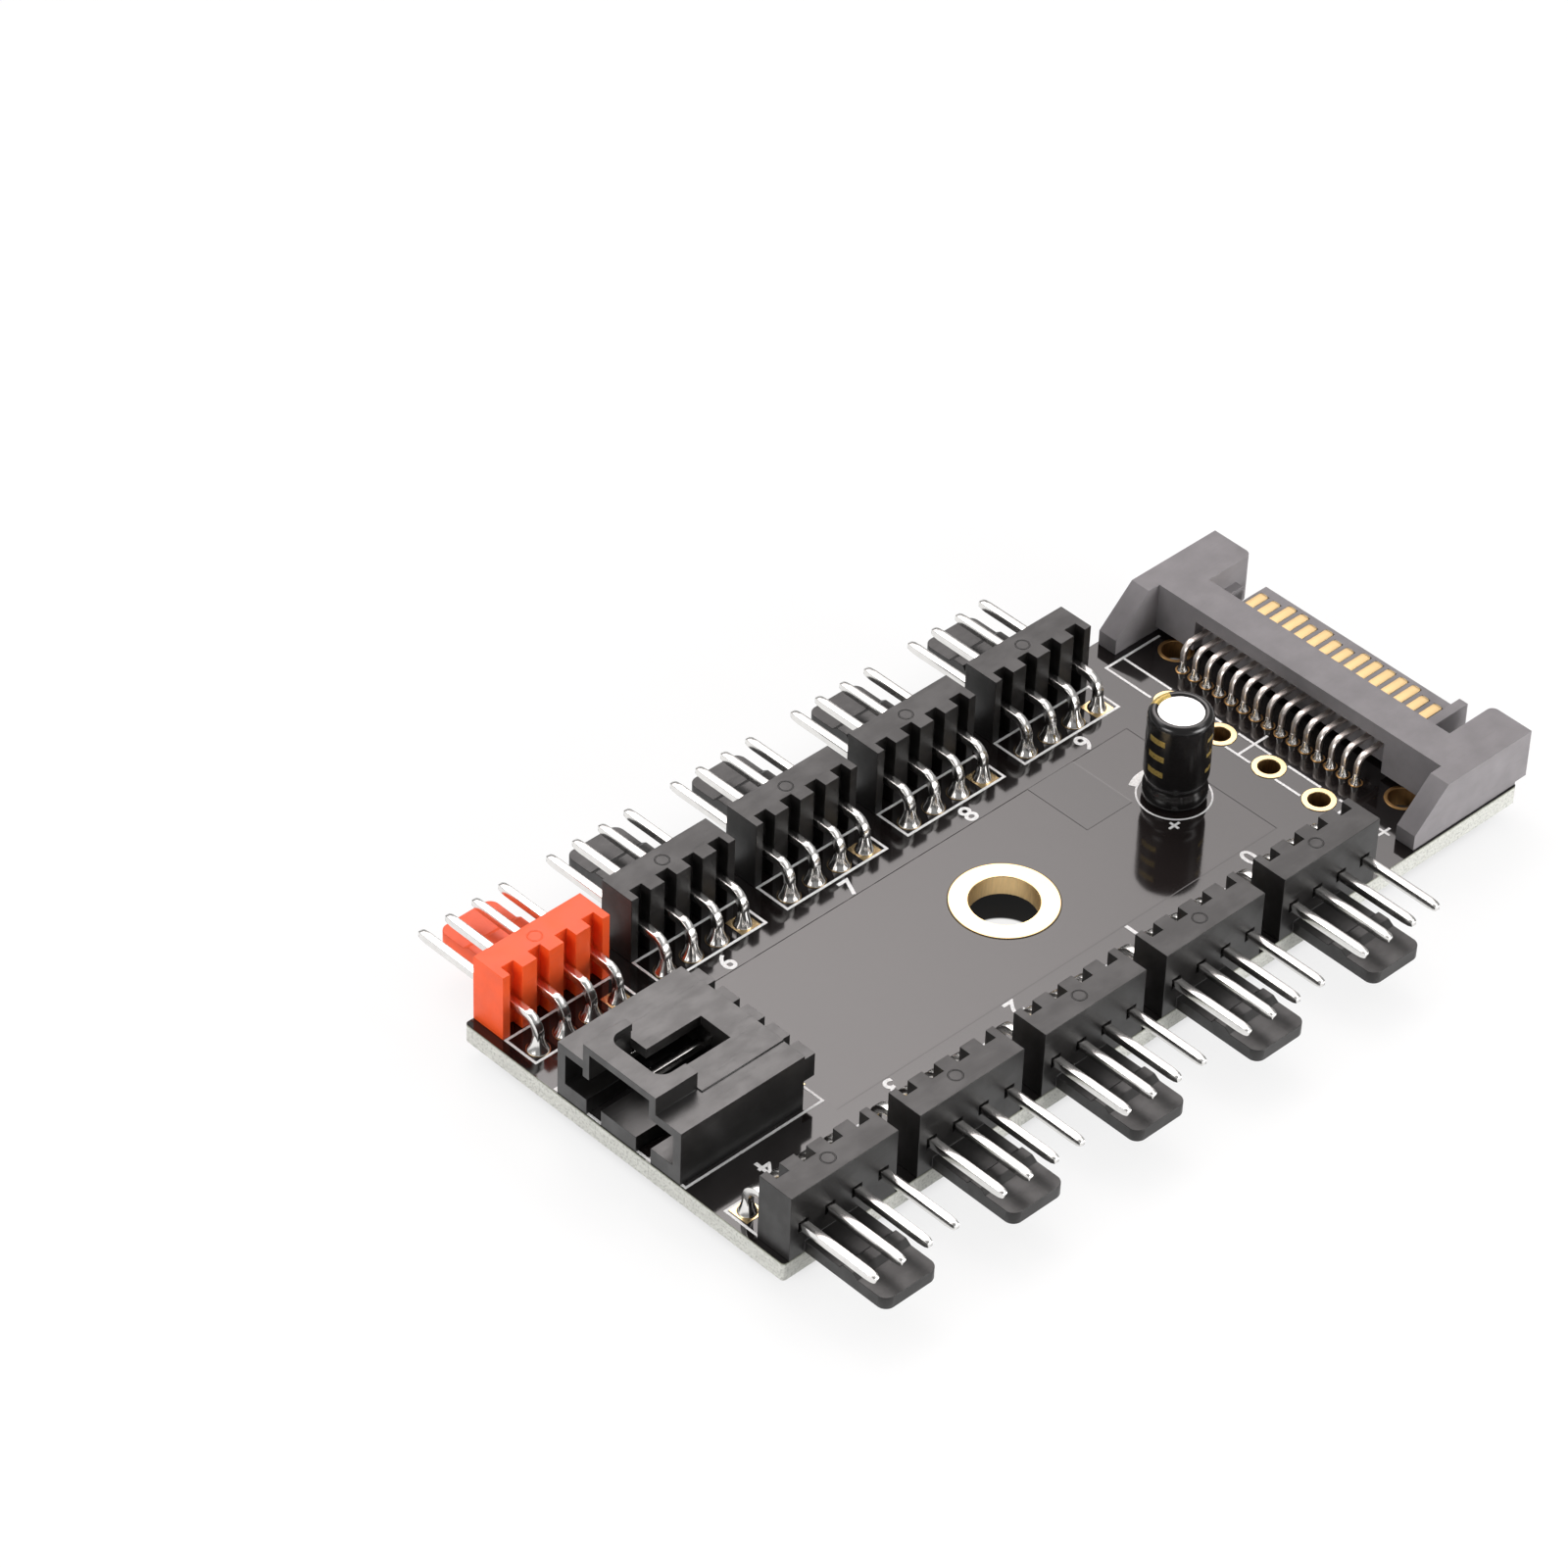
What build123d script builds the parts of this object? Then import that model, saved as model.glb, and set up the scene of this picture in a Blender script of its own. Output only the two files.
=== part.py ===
"""PC fan controller hub: a bare circuit board that shares one power plug among ten fan headers.

The origin is the centre of the mounting hole at the board's top face. +X runs to the power plug,
+Y to the rear row of headers, and +Z up from the component side. Sizes are in millimetres.
"""
from build123d import *

import os
from math import atan, cos, degrees, pi, sin

# Circuit board
board_length = 75.6
board_width = 32.7
board_thickness = 1.6
board_corner_radius = 0.3

# Plating of the open holes, a thin barrel with a pad on each face of the board
plating_wall = 0.1
pad_thickness = 0.06
plating_clearance = 0.02
mounting_ring_sides = 20
small_ring_sides = 8
mounting_hole_diameter = 5.3
mounting_pad_diameter = 8.4
power_hole_diameter = 1.7
power_pad_diameter = 2.7
power_hole_pitch = 5.08
power_hole_count = 4
power_hole_gap_to_plug = 5.4
locating_hole_diameter = 2.2
locating_pad_diameter = 2.8
locating_hole_gap_to_plug = 0.6

# Square pins of the fan headers and of the control input
pin_size = 0.64
pin_pitch = 2.54
pins_per_header = 4
pin_height = 2.65
pin_hole_clearance = 0.02
pin_tip_length = 0.9
pin_tip_size = 0.3
tail_length = 1.3
bend_facets = 3

# Fan headers, in two rows with their outer faces flush with the board's long edges
headers_per_row = 5
row_gap_to_plug = 4.6
front_row_inset = 0.5
rear_row_inset = 0.8
header_depth = 3.16
header_height = 5.87
header_pin_reach = 7.15
header_pin_bend = 1.2
header_tail_setback = 2.3
notch_width = 1.15
notch_depth = 1.0
pin_pocket_size = 0.95
pin_pocket_depth = 0.4

# Locking tongue under the pins of a fan header
tongue_inset = 1.45
tongue_width = 5.1
tongue_length = 7.9
tongue_thickness = 1.05
tongue_corner_radius = 0.8
ridge_gap = 3.4
ridge_length = 1.75
ridge_height = 0.35
ridge_ramp = 0.5

# Shrouded input for the control signal, opening over the board's left end
shroud_inset = 0.05
shroud_offset = 0.35
shroud_depth = 11.75
shroud_width = 12.6
shroud_height = 4.85
shroud_wall = 0.8
shroud_roof = 0.75
shroud_floor = 1.4
shroud_back = 2.0
shroud_pin_setback = 3.2
shroud_pin_bend = 0.8
shroud_tail_setback = 0.85
panel_width = 8.3
panel_step = 0.12
bridge_length = 3.95
bridge_width = 7.4
bridge_height = 6.4
bridge_wall = 0.65
bridge_bar = 1.65
bridge_cut_width = 5.4
bridge_cut_offset = 0.25
bridge_cut_radius = 1.0
window_width = 3.0
window_length = 5.2
key_rib_drop = 0.7
floor_slot_width = 1.5
floor_slot_length = 6.0
comb_tooth_width = 1.75
comb_tooth_depth = 1.35
comb_tooth_top = 4.1
comb_tooth_bottom = 2.0

# Fifteen-contact power plug on the board's right end
plug_overhang = 1.2
plug_side_inset = 0.2
plug_height = 4.5
plug_lift = 0.4
arm_length = 4.8
guide_spacing = 24.5
arm_corner_radius = 0.6
arm_edge_lift = 0.2
beam_depth = 3.3
leg_length = 4.45
leg_thickness = 1.8
leg_foot_height = 1.35
leg_ridge_setback = 1.15
blade_end = 0.2
blade_top = 2.5
blade_thickness = 1.2
blade_margin = 0.7
key_height = 1.0
key_thickness = 0.85
key_gap = 1.2
ledge_width = 0.75
ledge_setback = 1.6
ledge_top = 2.6
contact_pitch = 1.27
contact_count = 15
contact_offset = 0.8
contact_width = 0.85
contact_thickness = 0.3
contact_proud = 0.04
contact_tip_setback = 0.4
contact_stagger = 0.45
contact_tail_width = 0.45
contact_bend = 0.9
contact_tail_setback = 1.9
contact_clearance = 0.02
pin_recess_top = 3.2
pin_recess_depth = 1.0
pin_recess_margin = 0.75

# Contacts that start a little nearer the plug's mouth, counted from the +Y end
long_contacts = (2, 3, 5, 8, 9, 10, 11, 12)

# Capacitor
capacitor_gap_to_plug = 13.0
capacitor_diameter = 5.0
capacitor_top = 8.2
capacitor_lift = 0.3
sleeve_wall = 0.35
sleeve_clearance = 0.02
sleeve_rim_width = 0.75
sleeve_rim_thickness = 0.12
sleeve_edge = 0.3
crimp_height = 1.7
crimp_width = 0.7
crimp_depth = 0.2
lead_diameter = 0.5
lead_pitch = 2.0
lead_sides = 6

# Clearance of the board's holes round the legs that pass through it
board_hole_clearance = 0.12

# Derived places
header_width = pins_per_header * pin_pitch
board_left = -board_length / 2
board_right = board_length / 2
row_edge = board_width / 2
foot_level = -board_thickness - tail_length
header_tail_y = header_depth + header_tail_setback
shroud_front = board_left + shroud_inset
shroud_rear = shroud_front + shroud_depth
shroud_tail_x = shroud_rear + shroud_tail_setback
plug_mouth = board_right + plug_overhang
beam_front = plug_mouth - arm_length
beam_rear = beam_front - beam_depth
leg_foot = beam_rear - leg_length
plug_width = board_width - 2 * plug_side_inset
arm_width = (plug_width - guide_spacing) / 2
leg_inner_y = plug_width / 2 - leg_thickness
header_pitch = (leg_foot - row_gap_to_plug - board_left - front_row_inset - header_width) / (headers_per_row - 1)
capacitor_x = beam_rear - capacitor_gap_to_plug
contact_tail_x = beam_rear - contact_tail_setback
contact_height = blade_top + contact_proud - contact_thickness / 2
contact_half_span = (contact_count - 1) * contact_pitch / 2


def block(x_range, y_range, z_range):
    """Rectangular block between two limits on each axis."""
    low = (x_range[0], y_range[0], z_range[0])
    size = (x_range[1] - x_range[0], y_range[1] - y_range[0], z_range[1] - z_range[0])
    return Pos(*low) * Box(*size, align=(Align.MIN, Align.MIN, Align.MIN))


def centred(middle, width):
    """Limits of a width about its middle."""
    return (middle - width / 2, middle + width / 2)


def spread(count, pitch):
    """Evenly pitched places about zero."""
    return [(index - (count - 1) / 2) * pitch for index in range(count)]


def bend_arc(centre, radius):
    """Points of a faceted quarter turn, from the top of the bend to its outer side."""
    steps = [pi / 2 * step / bend_facets for step in range(bend_facets + 1)]
    return [(centre[0] + radius * sin(step), centre[1] + radius * cos(step)) for step in steps]


def bent_bar(start, tail, height, bend, width, thickness):
    """Bar that runs along +Y from its start points at a height, then turns down to its foot."""
    centre = (tail - bend, height - bend)
    inner = bend_arc(centre, bend - thickness / 2)
    outer = bend_arc(centre, bend + thickness / 2)
    foot = [(tail - thickness / 2, foot_level), (tail + thickness / 2, foot_level)]
    side = Polygon(*start, *inner, *foot, *reversed(outer), align=None)
    return extrude(Plane.YZ * side, amount=width / 2, both=True)


def square_pin(tip, tail, bend):
    """Square pin that narrows to its mating tip."""
    start = [
        (tip + pin_tip_length, pin_height + pin_size / 2),
        (tip, pin_height + pin_tip_size / 2),
        (tip, pin_height - pin_tip_size / 2),
        (tip + pin_tip_length, pin_height - pin_size / 2),
    ]
    return bent_bar(start, tail, pin_height, bend, pin_size, pin_size)


def header_pin_places():
    """Pin positions along a fan header, from its keyed end."""
    return [header_width / 2 + offset for offset in spread(pins_per_header, pin_pitch)]


def header_housing():
    """Fan header block and locking tongue, keyed end at x = 0 and outer face at y = 0."""
    plan = Pos(header_width / 2, header_depth / 2) * Rectangle(header_width, header_depth)
    for x in header_pin_places():
        plan -= Pos(x, header_depth) * Rectangle(notch_width, 2 * notch_depth)
    body = extrude(plan, amount=header_height) + locking_tongue()
    bore = pin_size + pin_hole_clearance
    for x in header_pin_places():
        body -= block(centred(x, bore), (0, header_depth), centred(pin_height, bore))
        mouth = (-pin_pocket_depth, pin_pocket_depth)
        body -= block(centred(x, pin_pocket_size), mouth, centred(pin_height, pin_pocket_size))
    return body


def locking_tongue():
    """Flat tongue with a friction ridge across it and rounded outer corners."""
    ridge_end = ridge_gap + ridge_length
    crest = tongue_thickness + ridge_height
    side = Polygon(
        (0, 0),
        (0, tongue_thickness),
        (-ridge_gap, tongue_thickness),
        (-ridge_gap - ridge_ramp / 2, crest),
        (ridge_ramp - ridge_end, crest),
        (-ridge_end, tongue_thickness),
        (-tongue_length, tongue_thickness),
        (-tongue_length, 0),
        align=None,
    )
    slab = extrude(Plane.YZ.offset(tongue_inset) * side, amount=tongue_width)
    outline = Pos(tongue_inset + tongue_width / 2, 0) * RectangleRounded(
        tongue_width, 2 * tongue_length, tongue_corner_radius
    )
    return slab & extrude(outline, amount=crest)


def header_locations():
    """Each fan header's number and place: the front row counts up to -X, the rear row to +X."""
    places = {}
    for index in range(headers_per_row):
        front_x = board_left + front_row_inset + index * header_pitch
        rear_x = board_left + rear_row_inset + index * header_pitch + header_width
        places[headers_per_row - 1 - index] = Location((front_x, -row_edge, 0))
        places[headers_per_row + index] = Location((rear_x, row_edge, 0), (0, 0, 180))
    return places


def header_hole_places():
    """Board position of every fan header pin."""
    local = [Location((x, header_tail_y, 0)) for x in header_pin_places()]
    found = []
    for place in header_locations().values():
        found += [(place * spot).position for spot in local]
    return [(spot.X, spot.Y) for spot in found]


def shroud_pin_ys():
    """Pin rows of the control input across the board."""
    return [shroud_offset + y for y in spread(pins_per_header, pin_pitch)]


def shroud_housing():
    """Shrouded input with a latch bridge over its mouth and a window behind the bridge."""
    middle = shroud_offset
    bridge_rear = shroud_front + bridge_length
    cavity_rear = shroud_rear - shroud_back
    ceiling = shroud_height - shroud_roof
    body = block((shroud_front, shroud_rear), centred(middle, shroud_width), (0, shroud_height))
    body += block((bridge_rear, shroud_rear), centred(middle, panel_width), (0, shroud_height + panel_step))
    body += block((shroud_front, bridge_rear), centred(middle, bridge_width), (0, bridge_height))
    inner_width = shroud_width - 2 * shroud_wall
    body -= block((shroud_front, cavity_rear), centred(middle, inner_width), (shroud_floor, ceiling))
    tunnel_width = bridge_width - 2 * bridge_wall
    tunnel_top = bridge_height - bridge_wall
    body -= block((shroud_front, bridge_rear), centred(middle, tunnel_width), (shroud_floor, tunnel_top))
    cut = block(
        (shroud_front + bridge_bar, bridge_rear),
        centred(middle + bridge_cut_offset, bridge_cut_width),
        (tunnel_top - bridge_wall / 2, bridge_height + bridge_wall),
    )
    cut = fillet(cut.edges().filter_by(Axis.Z).group_by(Axis.X)[0], bridge_cut_radius)
    body -= cut
    window = (bridge_rear - bridge_wall, bridge_rear + window_length)
    body -= block(window, centred(middle, window_width), (ceiling, bridge_height))
    for side in (-1, 1):
        slot_y = middle + side * pin_pitch
        slot = (shroud_front, shroud_front + floor_slot_length)
        body -= block(slot, centred(slot_y, floor_slot_width), (0, shroud_floor))
    rib_y = (middle + tunnel_width / 2, middle + bridge_width / 2)
    body += block((shroud_front, bridge_rear), rib_y, (ceiling - key_rib_drop, ceiling))
    for offset in spread(pins_per_header + 1, pin_pitch):
        tooth = block(
            (shroud_rear, shroud_rear + comb_tooth_depth),
            centred(middle + offset, comb_tooth_width),
            (comb_tooth_bottom, comb_tooth_top),
        )
        body += tooth
    bore = pin_size + pin_hole_clearance
    for y in shroud_pin_ys():
        body -= block((cavity_rear, shroud_rear), centred(y, bore), centred(pin_height, bore))
    return body


def shroud_pins():
    """Control input pins, from inside the shroud to their tails behind it."""
    tip = shroud_front + shroud_pin_setback
    pin = Rot(0, 0, -90) * square_pin(tip, shroud_tail_x, shroud_pin_bend)
    return [Pos(0, y, 0) * pin for y in shroud_pin_ys()]


def contact_ys():
    """Contact rows of the power plug, from the +Y end."""
    return [contact_offset - y for y in spread(contact_count, contact_pitch)]


def plug_housing():
    """Power plug with two sloped legs, a bridging beam, guide arms and a keyed blade."""
    half = plug_width / 2
    leg_side = Polygon(
        (leg_foot, 0),
        (beam_front, 0),
        (beam_front, plug_height),
        (beam_rear - leg_ridge_setback, plug_height),
        (leg_foot, leg_foot_height),
        align=None,
    )
    leg = extrude(Plane.XZ * leg_side, amount=leg_thickness)
    arm = arm_block()
    body = block((beam_rear, beam_front), (-half, half), (plug_lift, plug_height))
    body += Pos(0, half, 0) * leg
    body += Pos(0, leg_thickness - half, 0) * leg
    body += Pos(0, half, 0) * arm
    body += mirror(Pos(0, half, 0) * arm, about=Plane.XZ)
    blade_y = (contact_offset - contact_half_span - key_gap - key_thickness,
               contact_offset + contact_half_span + blade_margin)
    blade_x = (beam_front - beam_depth / 2, plug_mouth - blade_end)
    body += block(blade_x, blade_y, (blade_top - blade_thickness, blade_top))
    key_y = (blade_y[0], blade_y[0] + key_thickness)
    body += block(blade_x, key_y, (blade_top - blade_thickness, blade_top + key_height))
    ledge_inner = half - arm_width
    ledge_x = (beam_front - beam_depth / 2, plug_mouth - ledge_setback)
    body += block(ledge_x, (ledge_inner - ledge_width, ledge_inner + arm_width / 2), (plug_lift, ledge_top))
    recess_width = 2 * (contact_half_span + pin_recess_margin)
    recess_x = (beam_rear, beam_rear + pin_recess_depth)
    body -= block(recess_x, centred(contact_offset, recess_width), (0, pin_recess_top))
    for index, y in enumerate(contact_ys()):
        slot_x = (beam_rear, contact_tip_x(index) + contact_clearance)
        slot_y = centred(y, contact_width + contact_clearance)
        slot_top = blade_top + contact_proud + contact_clearance
        body -= block(slot_x, slot_y, (slot_top - contact_thickness - 2 * contact_clearance, slot_top))
    return body


def arm_block():
    """Guide arm beside the blade, its outer side at y = 0, stepped over the board's end."""
    outline = Polygon(
        (beam_front, -arm_width),
        (plug_mouth, -arm_width),
        (plug_mouth, 0),
        (beam_front, 0),
        align=None,
    )
    inner_corner = outline.vertices().sort_by(Axis.X)[-2:].sort_by(Axis.Y)[0]
    arm = extrude(fillet(inner_corner, radius=arm_corner_radius), amount=plug_height)
    return arm - block((board_right, plug_mouth), (-arm_width, 0), (0, arm_edge_lift))


def contact_tip_x(index):
    """Outer end of one contact on the blade, set back unless it is a long one."""
    reach = plug_mouth - blade_end - contact_tip_setback
    return reach if index in long_contacts else reach - contact_stagger


def plug_contact(index):
    """One contact: a wide blade strip that narrows to a pin bent down to the board."""
    wide_start = beam_rear + pin_recess_depth
    tip = contact_tip_x(index)
    strip = block(
        (wide_start, tip),
        centred(0, contact_width),
        (contact_height - contact_thickness / 2, contact_height + contact_thickness / 2),
    )
    low = contact_height - contact_thickness / 2
    start = [(-wide_start, low + contact_thickness), (-wide_start, low)]
    tail = bent_bar(
        start, -contact_tail_x, contact_height, contact_bend, contact_tail_width, contact_thickness
    )
    return strip + Rot(0, 0, 90) * tail


def plug_contacts(first, last):
    """Contacts from one place to another along the plug."""
    ys = contact_ys()
    return [Pos(0, ys[index], 0) * plug_contact(index) for index in range(first, last)]


def turned(points):
    """Solid turned about the capacitor's axis from its half section."""
    face = Plane.XZ * Polygon(*points, align=None)
    return Pos(capacitor_x, 0, 0) * revolve(face, axis=Axis.Z)


def capacitor_can():
    """Sealed aluminium can, whose top shows inside the sleeve's rim."""
    radius = capacitor_diameter / 2 - sleeve_wall - sleeve_clearance
    top = capacitor_top - sleeve_rim_thickness - sleeve_clearance
    return turned([(0, capacitor_lift), (radius, capacitor_lift), (radius, top), (0, top)])


def capacitor_sleeve():
    """Sleeve drawn into the crimp near its foot and rolled in over the can's top edge."""
    outer = capacitor_diameter / 2
    inner = outer - sleeve_wall
    rim = outer - sleeve_rim_width
    rim_base = capacitor_top - sleeve_rim_thickness
    crimp_low, crimp_high = centred(crimp_height, crimp_width)
    return turned([
        (inner, capacitor_lift),
        (outer, capacitor_lift),
        (outer, crimp_low),
        (outer - crimp_depth, crimp_low),
        (outer - crimp_depth, crimp_high),
        (outer, crimp_high),
        (outer, capacitor_top - sleeve_edge),
        (outer - sleeve_edge, capacitor_top),
        (rim, capacitor_top),
        (rim, rim_base),
        (inner, rim_base),
    ])


def lead_places():
    """Positions of the capacitor's leads along X."""
    return [capacitor_x + x for x in spread(2, lead_pitch)]


def capacitor_leads():
    """Lead wires from the can's base through the board."""
    wire = extrude(RegularPolygon(lead_diameter / 2, lead_sides), amount=capacitor_lift - foot_level)
    return [Pos(x, 0, foot_level) * wire for x in lead_places()]


def plated_ring(bore, hole, pad, sides):
    """Plated hole: a barrel through the board with a pad on each face, and its bore cut through."""
    full = board_thickness + 2 * pad_thickness
    foot = Pos(0, 0, -board_thickness - pad_thickness)
    ring = foot * extrude(RegularPolygon(hole / 2 + plating_wall, sides, major_radius=False), amount=full)
    flange = extrude(RegularPolygon(pad / 2, sides), amount=pad_thickness)
    ring += flange
    ring += foot * flange
    return ring - foot * extrude(bore, amount=full)


def power_hole_places():
    """Empty power holes in a row across the board behind the plug."""
    return [(beam_rear - power_hole_gap_to_plug, y) for y in spread(power_hole_count, power_hole_pitch)]


def locating_hole_places():
    """Locating holes midway between the plug's end contacts and its legs."""
    spacing = contact_half_span + leg_inner_y
    return [(beam_rear - locating_hole_gap_to_plug, y) for y in spread(2, spacing)]


def circuit_board():
    """Board with every hole that a pin, lead or plated barrel passes through."""
    def leg_hole(length, width):
        return Rectangle(length + board_hole_clearance, width + board_hole_clearance)

    def plated_hole(diameter, sides):
        barrel = diameter / 2 + plating_wall + plating_clearance
        return RegularPolygon(barrel, sides, major_radius=False)

    outline = RectangleRounded(board_length, board_width, board_corner_radius)
    outline -= plated_hole(mounting_hole_diameter, mounting_ring_sides)
    pin_places = header_hole_places() + [(shroud_tail_x, y) for y in shroud_pin_ys()]
    contact_places = [(contact_tail_x, y) for y in contact_ys()]
    patterns = [
        (leg_hole(pin_size, pin_size), pin_places),
        (leg_hole(contact_thickness, contact_tail_width), contact_places),
        (leg_hole(lead_diameter, lead_diameter), [(x, 0) for x in lead_places()]),
        (plated_hole(power_hole_diameter, small_ring_sides), power_hole_places()),
        (plated_hole(locating_hole_diameter, small_ring_sides), locating_hole_places()),
    ]
    for hole, places in patterns:
        outline -= [Pos(*place) * hole for place in places]
    return extrude(outline, amount=-board_thickness)


def small_rings(hole, pad, places):
    """Plated small holes at their places, faceted alike inside and out."""
    bore = RegularPolygon(hole / 2, small_ring_sides, major_radius=False)
    ring = plated_ring(bore, hole, pad, small_ring_sides)
    return [Pos(*place) * ring for place in places]


def build_nodes():
    """Every named node and the solids in it."""
    nodes = {"pcb": [circuit_board()]}
    bore = Circle(mounting_hole_diameter / 2)
    ring = plated_ring(bore, mounting_hole_diameter, mounting_pad_diameter, mounting_ring_sides)
    nodes["mounting_hole_ring"] = [ring]
    nodes["power_hole_rings"] = small_rings(power_hole_diameter, power_pad_diameter, power_hole_places())
    locating = small_rings(locating_hole_diameter, locating_pad_diameter, locating_hole_places())
    nodes["locating_hole_rings"] = locating

    housing = header_housing()
    pin = square_pin(-header_pin_reach, header_tail_y, header_pin_bend)
    pins = [Pos(x, 0, 0) * pin for x in header_pin_places()]
    for number, place in sorted(header_locations().items()):
        nodes[f"fan_header_{number}_housing"] = [place * housing]
        nodes[f"fan_header_{number}_pins"] = [place * each for each in pins]

    nodes["pwm_input_housing"] = [shroud_housing()]
    nodes["pwm_input_pins"] = shroud_pins()

    nodes["sata_housing"] = [plug_housing()]
    groups = ("12v", "ground_b", "5v", "ground_a", "3v3")
    share = contact_count // len(groups)
    for index, group in enumerate(groups):
        nodes[f"sata_contacts_{group}"] = plug_contacts(index * share, (index + 1) * share)

    nodes["capacitor_can"] = [capacitor_can()]
    nodes["capacitor_sleeve"] = [capacitor_sleeve()]
    nodes["capacitor_leads"] = capacitor_leads()
    return nodes


os.makedirs("parts", exist_ok=True)
for node, solids in build_nodes().items():
    pieces = [solid for piece in solids for solid in piece.solids()]
    shape = pieces[0] if len(pieces) == 1 else Compound(children=pieces)
    export_step(shape, f"parts/{node}.step")
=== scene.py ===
"""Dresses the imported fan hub: moulded housings, smooth pins, solder, print, finishes and a stage.

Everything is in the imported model's frame: the origin is the centre of the mounting hole at the
board's top face, +X runs to the power plug, +Y to the rear row of headers and +Z up.
"""
from math import cos, pi, radians, sin

import bmesh
import bpy
from bpy.props import FloatProperty, FloatVectorProperty, IntProperty, PointerProperty
from mathutils import Matrix, Vector


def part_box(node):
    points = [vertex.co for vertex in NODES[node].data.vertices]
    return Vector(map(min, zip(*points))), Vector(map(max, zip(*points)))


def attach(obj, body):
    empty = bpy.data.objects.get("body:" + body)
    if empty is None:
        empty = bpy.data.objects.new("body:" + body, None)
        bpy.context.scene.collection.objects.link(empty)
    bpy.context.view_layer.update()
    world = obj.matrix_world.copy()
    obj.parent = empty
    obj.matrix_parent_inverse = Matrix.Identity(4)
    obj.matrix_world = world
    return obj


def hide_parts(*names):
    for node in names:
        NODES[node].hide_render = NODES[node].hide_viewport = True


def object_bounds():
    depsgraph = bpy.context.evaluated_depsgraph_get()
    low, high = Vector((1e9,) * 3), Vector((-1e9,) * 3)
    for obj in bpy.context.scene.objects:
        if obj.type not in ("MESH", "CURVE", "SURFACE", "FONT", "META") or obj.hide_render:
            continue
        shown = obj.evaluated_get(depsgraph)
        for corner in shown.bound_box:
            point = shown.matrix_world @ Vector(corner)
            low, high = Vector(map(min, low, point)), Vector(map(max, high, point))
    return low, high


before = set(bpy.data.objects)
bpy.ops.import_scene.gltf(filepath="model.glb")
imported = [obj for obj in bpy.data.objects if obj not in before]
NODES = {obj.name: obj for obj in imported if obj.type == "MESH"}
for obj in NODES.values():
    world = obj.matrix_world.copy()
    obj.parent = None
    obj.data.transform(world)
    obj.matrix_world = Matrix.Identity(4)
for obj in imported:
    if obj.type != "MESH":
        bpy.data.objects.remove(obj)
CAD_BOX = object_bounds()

bl_info = {
    "name": "Fan hub dresser",
    "version": (1, 0, 0),
    "blender": (4, 5, 0),
    "location": "3D View > Sidebar > Fan hub",
    "description": "Builds the visible pieces of a fan controller hub around its packed solids",
    "category": "Object",
}

MM = 0.001
MERGE = 1e-7
HEADERS = range(10)
REAR_FROM = 5
RED_HEADER = 5
CONTACT_GROUPS = ("12v", "ground_b", "5v", "ground_a", "3v3")
LONG_CONTACTS = (2, 3, 5, 8, 9, 10, 11, 12)

# Places and sizes of the solids that the pieces are drawn over, in metres
BOARD_TOP = 0.0
BOARD_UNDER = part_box("pcb")[0].z
BOARD_EDGE_Y = 16.35 * MM
PIN_PITCH = 2.54 * MM
CONTACT_PITCH = 1.27 * MM
CONTACT_WIDTH = 0.85 * MM
CONTACT_TAIL = 0.45 * MM
CONTACT_THICKNESS = 0.30 * MM
CONTACT_TIPS_X = {True: 38.4 * MM, False: 37.95 * MM}
CONTACT_NARROWS_X = 31.9 * MM

# Ends of the pins and contacts: shares of the full width from the tip on, with the steps between them in
# millimetres, then the taper of a pin's tail and of a contact's neck, and a contact's rounding
PIN_TIP = ((0.52, 0.72, 0.90, 1.0), (0.09, 0.26, 0.55))
CONTACT_TIP = ((0.45, 0.78, 0.94, 1.0), (0.06, 0.08, 0.12))
TAIL_TAPER = 0.22 * MM
TAIL_SHARE = 0.74
NECK_TAPER = 0.1 * MM
CONTACT_EDGE = 0.03 * MM

# Plated holes, in millimetres: bore and pad radii, then the steps round a hole
MOUNTING_HOLE = (2.65, 4.2, 72)
POWER_HOLE = (0.85, 1.35, 36)
LOCATING_HOLE = (1.1, 1.4, 36)
POWER_HOLE_X = 25.5
POWER_HOLE_PITCH = 5.08
PLATING = 0.1

# Roughness, specular level and strength of the flow smears of each moulding
HEADER_GLOSS = (0.36, 0.47, 0.30)
RED_GLOSS = (0.45, 0.46, 0.20)
INPUT_GLOSS = (0.30, 0.64, 0.42)
PLUG_GLOSS = (0.55, 0.15, 0.12)
PIN_GLOSS = 0.14
SOLDER_GLOSS = 0.10

# Ejector ring in a header's top, in millimetres: radius, width, and its place from the housing's middle
# and from the board's edge
EJECTOR = (0.60, 0.13)
EJECTOR_PLACE = (-0.4, 1.3)

# Solder: its height under the board against that on top, its wetted share of a square pad, and for each
# kind of joint its scale and its wetted share of a round pad; then how deep a pad is let in
UNDER_SOLDER = 0.78
SQUARE_WETTED = 0.84
HEADER_JOINT = (1.0, 0.96)
PLUG_JOINT = (0.62, 0.80)
LEAD_JOINT = (0.9, 0.94)
PAD_SINK = 0.01 * MM

# White print, in millimetres
SINK = 0.005
BUTT = -0.51
HEADER_PRINT_X = (0.15, 0.05)
HEADER_PRINT_Y = (9.88, 13.05)
DIGIT_Y = 8.55
DIGIT_BOLD = 0.035
INPUT_PRINT = (-37.6, -24.5, -6.38, 7.0)
PLUG_PRINT_X = (24.8, 26.65)
PLUG_PRINT_Y = (-9.6, 13.7)
PLUG_PRINT_ENDS = (28.2, 30.6)
PAD_CLEARANCE = 1.45
PLUG_PLUS = (26.4, -13.3, 1.3)
CAPACITOR_PLUS = (-2.55, -2.45, 1.1)
CAPACITOR_RING = (2.78, 2.93)
WEDGE = (2.935, 3.5)
WEDGE_TURN = (58, 62)

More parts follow.
